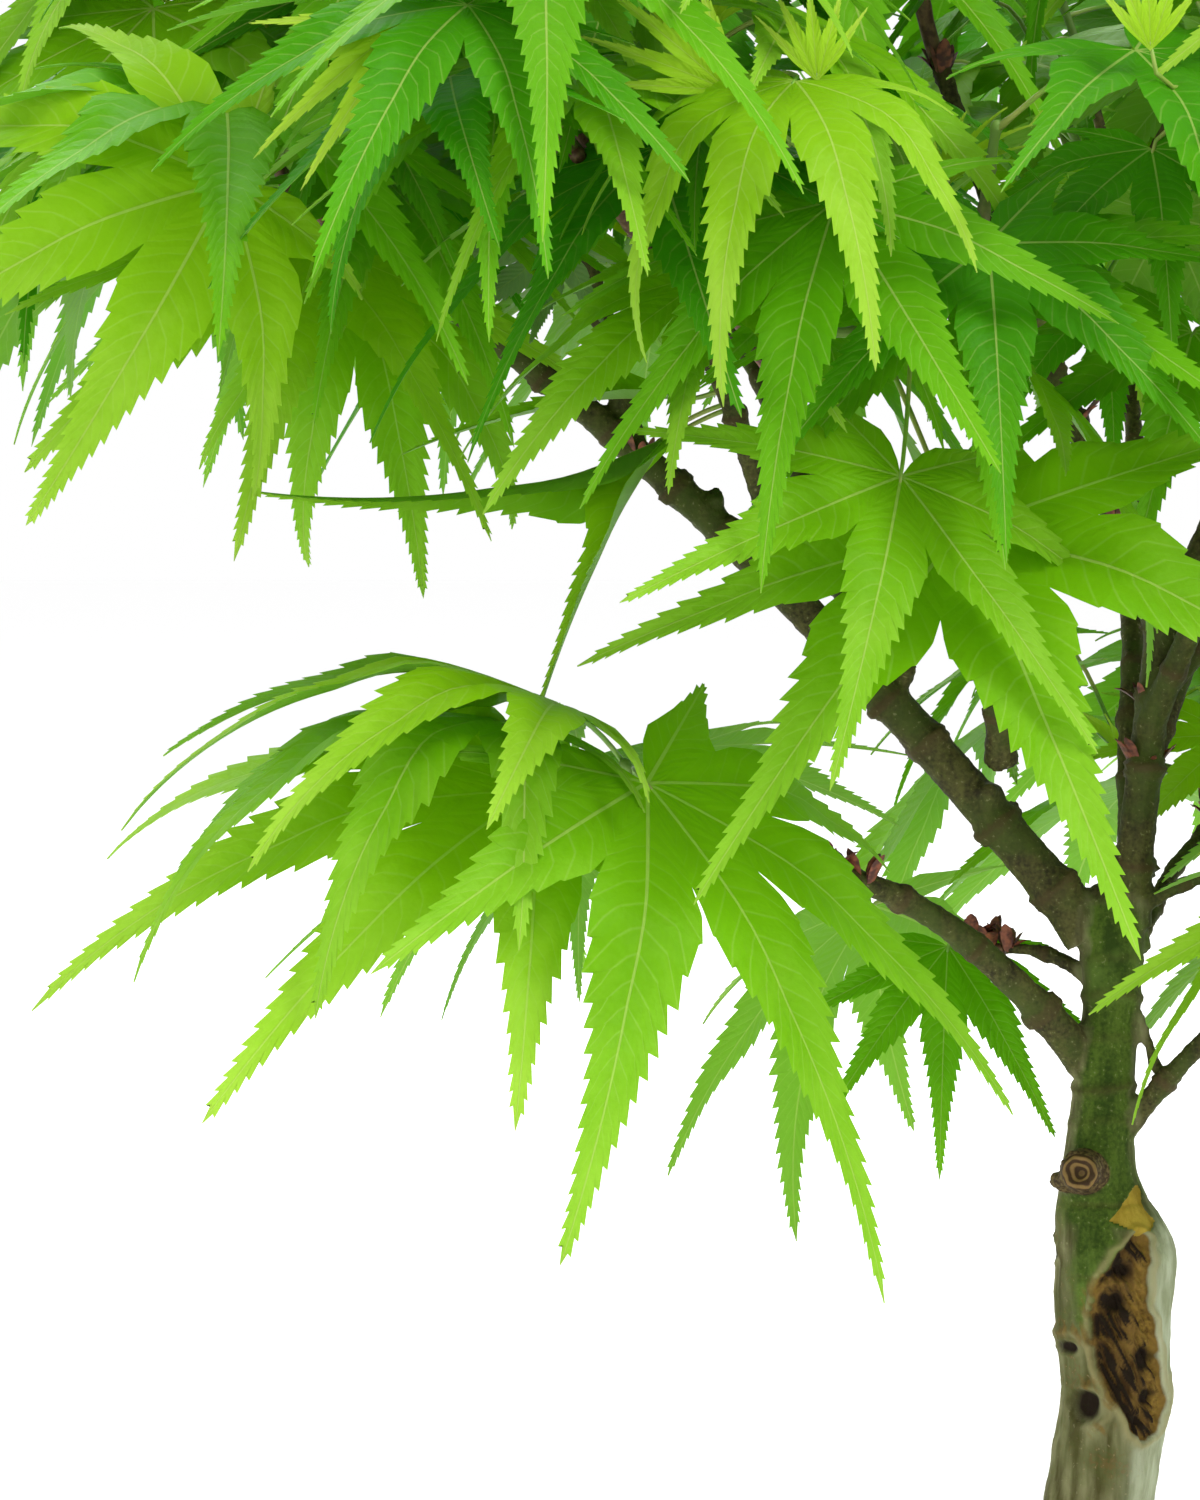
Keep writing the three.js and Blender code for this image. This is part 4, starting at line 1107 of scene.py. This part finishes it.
class Gathered:
    """Points and faces of one piece, gathered part by part as arrays."""

    def __init__(self):
        self.points, self.quads, self.tris = [], [np.empty((0, 4), int)], [np.empty((0, 3), int)]
        self.quad_slots, self.tri_slots = [np.empty(0, int)], [np.empty(0, int)]
        self.values = {}
        self.count = 0

    def add(self, points, quads=(), tris=(), slot=0, **values):
        quads, tris = np.array(quads, int).reshape(-1, 4), np.array(tris, int).reshape(-1, 3)
        self.points.append(points)
        self.quads.append(quads + self.count)
        self.tris.append(tris + self.count)
        self.quad_slots.append(np.broadcast_to(slot, len(quads)))
        self.tri_slots.append(np.broadcast_to(slot, len(tris)))
        for name, value in values.items():
            self.values.setdefault(name, []).append(value)
        self.count += len(points)

    def finish(self, name, materials, record_slot, nodes):
        quads, tris = np.concatenate(self.quads), np.concatenate(self.tris)
        mesh = bpy.data.meshes.new(name)
        mesh.vertices.add(self.count)
        mesh.vertices.foreach_set("co", (np.concatenate(self.points) * MM).astype(np.float32).ravel())
        corners = np.concatenate([quads.ravel(), tris.ravel()]).astype(np.int32)
        mesh.loops.add(len(corners))
        mesh.loops.foreach_set("vertex_index", corners)
        starts = np.concatenate([np.arange(len(quads)) * 4, len(quads) * 4 + np.arange(len(tris)) * 3])
        mesh.polygons.add(len(starts))
        mesh.polygons.foreach_set("loop_start", starts.astype(np.int32))
        slots = np.concatenate(self.quad_slots + self.tri_slots)
        mesh.polygons.foreach_set("material_index", slots.astype(np.int32))
        mesh.polygons.foreach_set("use_smooth", np.ones(len(starts), bool))
        mesh.update(calc_edges=True)
        for value_name, parts in self.values.items():
            attribute = mesh.attributes.new(value_name, "FLOAT", "POINT")
            attribute.data.foreach_set("value", np.concatenate(parts).astype(np.float32))
        for material in materials:
            mesh.materials.append(material)
        piece = placed(name, mesh)
        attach(piece, "root")
        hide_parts(*nodes)


BLADES = {
    "full": blade_template(TOOTH, range(LOBES)),
    "young": blade_template(YOUNG_TOOTH, range(1, LOBES - 1)),
    "edge": blade_template(TOOTH, [3]),
}
HALF_THICK = 0.12
ARCH = 0.22
WAVES = 19


def add_blade(gathered, leaf, tint):
    """One leaf: its upper side with the panels between the veins arched, and a flatter underside."""
    (lobe, s, t, share, vein), upper, lower = BLADES[leaf.get("blade", "full")]
    off_palm = ease(s, SINUS, SHOULDER)
    t = t * (1 + (leaf["slim"] - 1) * off_palm)
    beside = np.abs(t)
    ripple = np.sin(s * WAVES + 2.1 * lobe + leaf["phase"])
    wave = leaf["wave"] * ripple * off_palm * beside / 0.1 * leaf["length"]
    thick = np.where(share > 1, 0.0, HALF_THICK)
    arch = ARCH * beside * leaf["length"] * np.clip(1 - np.abs(2 * share - 1), 0, 1)
    values = dict(outward=s / np.array(LOBE_LONG)[lobe], beside=beside, vein=vein)
    quads, tris = split_faces(upper)
    gathered.add(blade_points(leaf, lobe, s, t, wave + thick + arch), quads, tris, TINT_SLOTS[tint], **values)
    quads, tris = split_faces(lower)
    under = tint if tint in ("young", "pale") else "underside"
    points = blade_points(leaf, lobe, s, t, wave - thick)
    gathered.add(points, quads[:, ::-1], tris[:, ::-1], TINT_SLOTS[under], **values)


# Petioles: slim round stalks of soft green tissue that join each leaf's foot to its twig. They have a warm
# tone in places, and are thicker where they leave the twig.
PETIOLE_RINGS, PETIOLE_SIDES = 9, 6
petiole_material = Material("petiole", Roughness=0.45)
warm = petiole_material.noise(0.15, 2).rise(0.42, 0.62)
petiole_material.paint(petiole_material.mix(warm, srgb(108, 156, 44), srgb(150, 160, 76)))
petiole_material.bump(petiole_material.noise(1.2), 0.05)


def grid_faces(rows, columns):
    """Quads between neighbouring rings of a tube."""
    row, column = np.meshgrid(np.arange(rows - 1), np.arange(columns), indexing="ij")
    start, after = row * columns + column, row * columns + (column + 1) % columns
    return np.stack([start, after, after + columns, start + columns], axis=-1).reshape(-1, 4)


def tube(centres, radii, sides):
    """A closed tube along a line of centres."""
    along = unit(np.gradient(centres, axis=0))
    across = np.cross(centres[-1] - centres[0], [0.31, 0.17, 1.0])
    side = unit(across - np.sum(along * across, axis=1, keepdims=True) * along)
    rise = np.cross(along, side)
    turn = np.arange(sides) * 2 * math.pi / sides
    out = np.cos(turn)[None, :, None] * side[:, None] + np.sin(turn)[None, :, None] * rise[:, None]
    rings = centres[:, None] + out * radii[:, None, None]
    ends = np.array([centres[0], centres[-1] + along[-1] * radii[-1] * 0.5])
    points = np.concatenate([rings.reshape(-1, 3), ends])
    ring, top = np.arange(sides), (len(centres) - 1) * sides
    first, last = len(points) - 2, len(points) - 1
    foot = np.stack([np.full(sides, first), (ring + 1) % sides, ring], 1)
    tip = np.stack([np.full(sides, last), top + ring, top + (ring + 1) % sides], 1)
    return points, grid_faces(len(centres), sides), np.concatenate([foot, tip])


def add_petiole(gathered, leaf):
    """A bowed stalk from a leaf's node to the foot of its blade."""
    base, axes = leaf["frame"]
    node = leaf["node"]
    far = np.linalg.norm(base - node)
    bow = node + (base - node) * 0.35 + UP * 0.06 * far
    control = [node, bow, base - axes[0] * 0.28 * far, base + axes[0] * 1.2]
    share = np.linspace(0, 1, PETIOLE_RINGS)
    radii = np.interp(share, [0, 0.12, 0.85, 1], [0.7, 0.42, 0.36, 0.28])
    gathered.add(*tube(bezier(control, share), radii, PETIOLE_SIDES))


# Twigs: thin wood that goes on from each bough, parts and carries the leaves. This year's shoots are green
# and last year's red-brown, with a small swelling at each pair of leaves.
TWIG_RADIUS = 0.85
TWIG_RINGS, STEM_SIDES, TWIG_SIDES = 26, 12, 9
twig_material = Material("twig", Roughness=0.6)
tone = twig_material.noise(0.9)
age = twig_material.value("age")
twig_colour = twig_material.mix(tone.rise(0.4, 0.62), srgb(74, 46, 26), srgb(112, 84, 52))
twig_material.paint(twig_material.mix(age, srgb(98, 132, 44), twig_colour))
twig_material.bump(tone, 0.15)


def add_twigs(gathered, owner):
    """A mass's stem, and the twig of each spray that has leaves."""
    share = np.linspace(0, 1, TWIG_RINGS)
    thick = BOUGHS[owner["mass"]["bough"]]["radii"][1]
    radii = np.interp(share, [0, 1], [thick * 0.98, TWIG_RADIUS * 1.35])
    radii = radii * (1 + 0.12 * bell((share * 3) % 1 - 0.5, 0.08))
    foot, control, heart = owner["stem"]
    line = bezier([foot - (control - foot) * 0.08, control, heart], share)
    points, quads, tris = tube(line, radii, STEM_SIDES)
    gathered.add(points, quads, tris, age=np.ones(len(points)))
    for spray in owner["sprays"]:
        if not spray["leaves"]:
            continue
        radii = np.interp(share, [0, 1], [TWIG_RADIUS * 1.25, TWIG_RADIUS * 0.8])
        radii = radii + 0.3 * bell((1 - share) * 40 % 9 - 2, 1.0)
        points, quads, tris = tube(bezier(spray["curve"], share), radii, TWIG_SIDES)
        age = np.append(np.repeat(1 - ease(share, 0.2, 0.9), TWIG_SIDES), [1, 0])
        gathered.add(points, quads, tris, age=age)


# Young shoots: at the end of some sprays two small leaves are still folded up, their lobes together and
# pleated, in the palest green. Four more leaves stand where the photograph shows them in front.
YOUNG_LENGTH = 21
YOUNG = dict(blade="young", spread=0.5, slim=0.62, fold=0.6, tint="young")
SHOOTS = 0.3
SET_SHOOTS = {  # foot and tip
    "front_mass": [([-45, -96, 235], [-46, -93, 250]), ([-57, -92, 234], [-73, -96, 248])],
    "front_right_mass": [([0, -100, 239], [0, -97, 254])],
    "front_left_mass": [([-100, -104, 243], [-121, -108, 228])],
}


def young_leaf(keys, spray, length, place):
    """A folded leaf in a given frame, with its petiole from the spray's tip."""
    bends = lobe_bends(0.5, keys)
    return dict(YOUNG, keys=keys, node=spray["point"], length=length, bends=bends, frame=place)


def young_leaves(number, spray):
    """The pair of young leaves at the end of a spray, or none."""
    if chance(number, spray["number"], 0, 60) > SHOOTS or number == 1:
        return []
    leaves = []
    for side in (-1, 1):
        keys = (number, spray["number"], 8 + side)
        heading = spray["heading"] + side * (60 + jitter(*keys, 61, 25))
        forward = towards(heading, -58 + jitter(*keys, 62, 14))
        place = leaf_frame(spray["point"] + unit(forward) * 3, forward, UP * 0.4 - towards(heading))
        length = YOUNG_LENGTH * (0.75 + 0.5 * chance(*keys, 63))
        leaves.append(young_leaf(keys, spray, length, place))
    return leaves


def set_shoot(foot, tip, number, sprays):
    """A listed young leaf, which faces the front."""
    foot, tip = np.array(foot, float), np.array(tip, float)
    spray = min(sprays, key=lambda s: np.linalg.norm(s["point"] - foot))
    length = np.linalg.norm(tip - foot) * 1.15
    place = leaf_frame(foot, tip - foot, away + UP * 0.2)
    return young_leaf((SHOOT_KEY, number, 0), spray, length, place)


CROWN_MIDDLE, CROWN_DEEP = 200, 160


def tint_of(leaf):
    """One tint for a spray, with a lighter or darker leaf now and then."""
    number, k, j = leaf["keys"]
    share = 0.75 * chance(number, k, 0, 33) + 0.25 * chance(number, k, j, 34)
    # Higher leaves take lighter greens and lower ones darker: painted light at the top of the crown, painted
    # shade below.
    outer = np.clip((leaf["frame"][0][2] - CROWN_MIDDLE) / CROWN_DEEP, -0.3, 0.4)
    return list(TINTS)[int(np.clip(5 * share - outer, 0, 4))]


def finish_leaf(leaf):
    """What a leaf has of its own in the scene alone: its tint, how slim, folded, waved and twisted it is."""
    keys = leaf["keys"]
    by_rule = keys[0] < SET_KEY
    leaf.setdefault("tint", tint_of(leaf))
    leaf.setdefault("slim", 0.76 + 0.24 * chance(*keys, 36) if by_rule else 1)
    leaf.setdefault("fold", FOLD * (0.5 + 0.9 * chance(*keys, 32)))
    leaf["phase"] = 6.28 * chance(*keys, 31)
    leaf["wave"] = 0.004 + 0.008 * chance(*keys, 35)
    leaf["twist"] = np.array([jitter(*keys, 80 + i, 0.7 if by_rule else 0.15) for i in range(LOBES)])
    return leaf


for name, owner in grown.items():
    blades, petioles, twigs = Gathered(), Gathered(), Gathered()
    add_twigs(twigs, owner)
    leaves = [leaf for spray in owner["sprays"] for leaf in spray["leaves"]]
    for spray in owner["sprays"]:
        leaves += young_leaves(owner["number"], spray) if spray["leaves"] else []
    leaves += [set_shoot(*spec, k, owner["sprays"]) for k, spec in enumerate(SET_SHOOTS.get(name, []))]
    for leaf in leaves:
        finish_leaf(leaf)
        add_blade(blades, leaf, leaf["tint"])
        add_petiole(petioles, leaf)
    short = name.replace("_mass", "")
    blades.finish(f"leaves_{short}", leaf_materials, "leaves", [name])
    petioles.finish(f"petioles_{short}", [petiole_material.made], "leaves", [name])
    twigs.finish(f"twigs_{short}", [twig_material.made], "bough_bark", [name])

# Bud scales: dry, papery red-brown scales, which wrapped the winter buds. They stay in small tufts where this
# year's twigs came out of the wood.
SCALES_AT = {  # how far along a bough its tufts are
    "left_bough": (0.3, 0.62, 0.97),
    "low_left_bough": (0.72, 0.84, 0.98),
    "leader": (0.5, 0.7, 0.96),
    "top_left_bough": (0.2, 0.38, 0.96),
}
SCALE_ROWS = 5
SCALES_IN_TUFT = 7


def add_scale(gathered, base, heading, rise, length):
    """One cupped scale, as a sheet with two sides."""
    share = np.linspace(0, 1, SCALE_ROWS)
    out = towards(heading, -rise)
    side = unit(np.cross(out, UP))
    spine = base + out * (share * length)[:, None] + UP * (0.6 * length * share * (1 - share))[:, None]
    half = (length * 0.2 * np.sin(math.pi * (0.18 + 0.8 * share)) + 0.05)[:, None]
    cup = UP * half * 0.5
    rows = np.stack([spine - side * half, spine - cup, spine + side * half], 1).reshape(-1, 3)
    starts = [3 * row + column for row in range(SCALE_ROWS - 1) for column in (0, 1)]
    quads = [(at, at + 3, at + 4, at + 1) for at in starts]
    gathered.add(rows, quads)
    gathered.add(rows - UP * 0.08, [q[::-1] for q in quads])


scale_material = Material("bud_scale", Roughness=0.6)
tone = scale_material.noise(0.8, 2)
scale_material.paint(scale_material.mix(tone.rise(0.4, 0.6), srgb(72, 30, 18), srgb(132, 70, 44)))
scale_material.bump(tone, 0.1)
scales = Gathered()


def add_tuft(place, radius, keys):
    """Scales all round a place on a limb."""
    for n in range(SCALES_IN_TUFT):
        heading = 360 * (n + chance(*keys, 51 + n)) / SCALES_IN_TUFT
        start = place + towards(heading) * radius * 0.8
        rise = 25 + 50 * chance(*keys, 61 + n)
        add_scale(scales, start, heading, rise, 2.6 + 3.4 * chance(*keys, 71 + n))


for number, (name, spec) in enumerate(BOUGHS.items()):
    for k, share in enumerate(SCALES_AT.get(name, (0.96,))):
        radius = np.interp(share, [0, 1], spec["radii"])
        add_tuft(limb_points(spec, share)[0], radius, (number, k, 50))
for owner in grown.values():
    for place in (1 / 3, 2 / 3):
        add_tuft(bezier(owner["stem"], [place])[0], 1.0, (owner["number"], place, 55))
scales.finish("bud_scales", [scale_material.made], "bough_bark", list(BOUGHS))


# Stage: a wide white floor under the tree. The sky is white as well, as the photograph's blank background.
bpy.ops.object.select_all(action="DESELECT")
bpy.ops.mesh.primitive_plane_add(size=8)
floor = bpy.context.active_object
floor.name = "floor"
floor.data.materials.append(Material("white_floor", Base_Color=(0.98, 0.98, 0.98, 1), Roughness=0.9).made)

# Light: a white sky, a large soft lamp high in front on the right, a fill on the left, and one behind that
# shines through the leaves.
def lamp(name, place, size, power, aim=(-0.05, 0, 0.17)):
    """A square lamp that shines at the middle of what the photograph shows."""
    data = bpy.data.lights.new(name, "AREA")
    data.shape, data.size, data.energy = "SQUARE", size, power
    light = placed(name, data)
    light.location = place
    light.rotation_euler = (Vector(aim) - Vector(place)).to_track_quat("-Z", "Y").to_euler()


lamp("key", (0.8, -0.8, 1.2), 0.5, 16)
lamp("fill", (-1.1, -0.8, 0.5), 0.9, 3)
lamp("behind", (-0.3, 1.0, 1.1), 1.0, 16)
world = bpy.data.worlds.new("white_sky")
bpy.context.scene.world = world
world.use_nodes = True
world.node_tree.nodes["Background"].inputs["Color"].default_value = (1, 1, 1, 1)
world.node_tree.nodes["Background"].inputs["Strength"].default_value = 1.0
bpy.context.scene.view_settings.view_transform = "Standard"
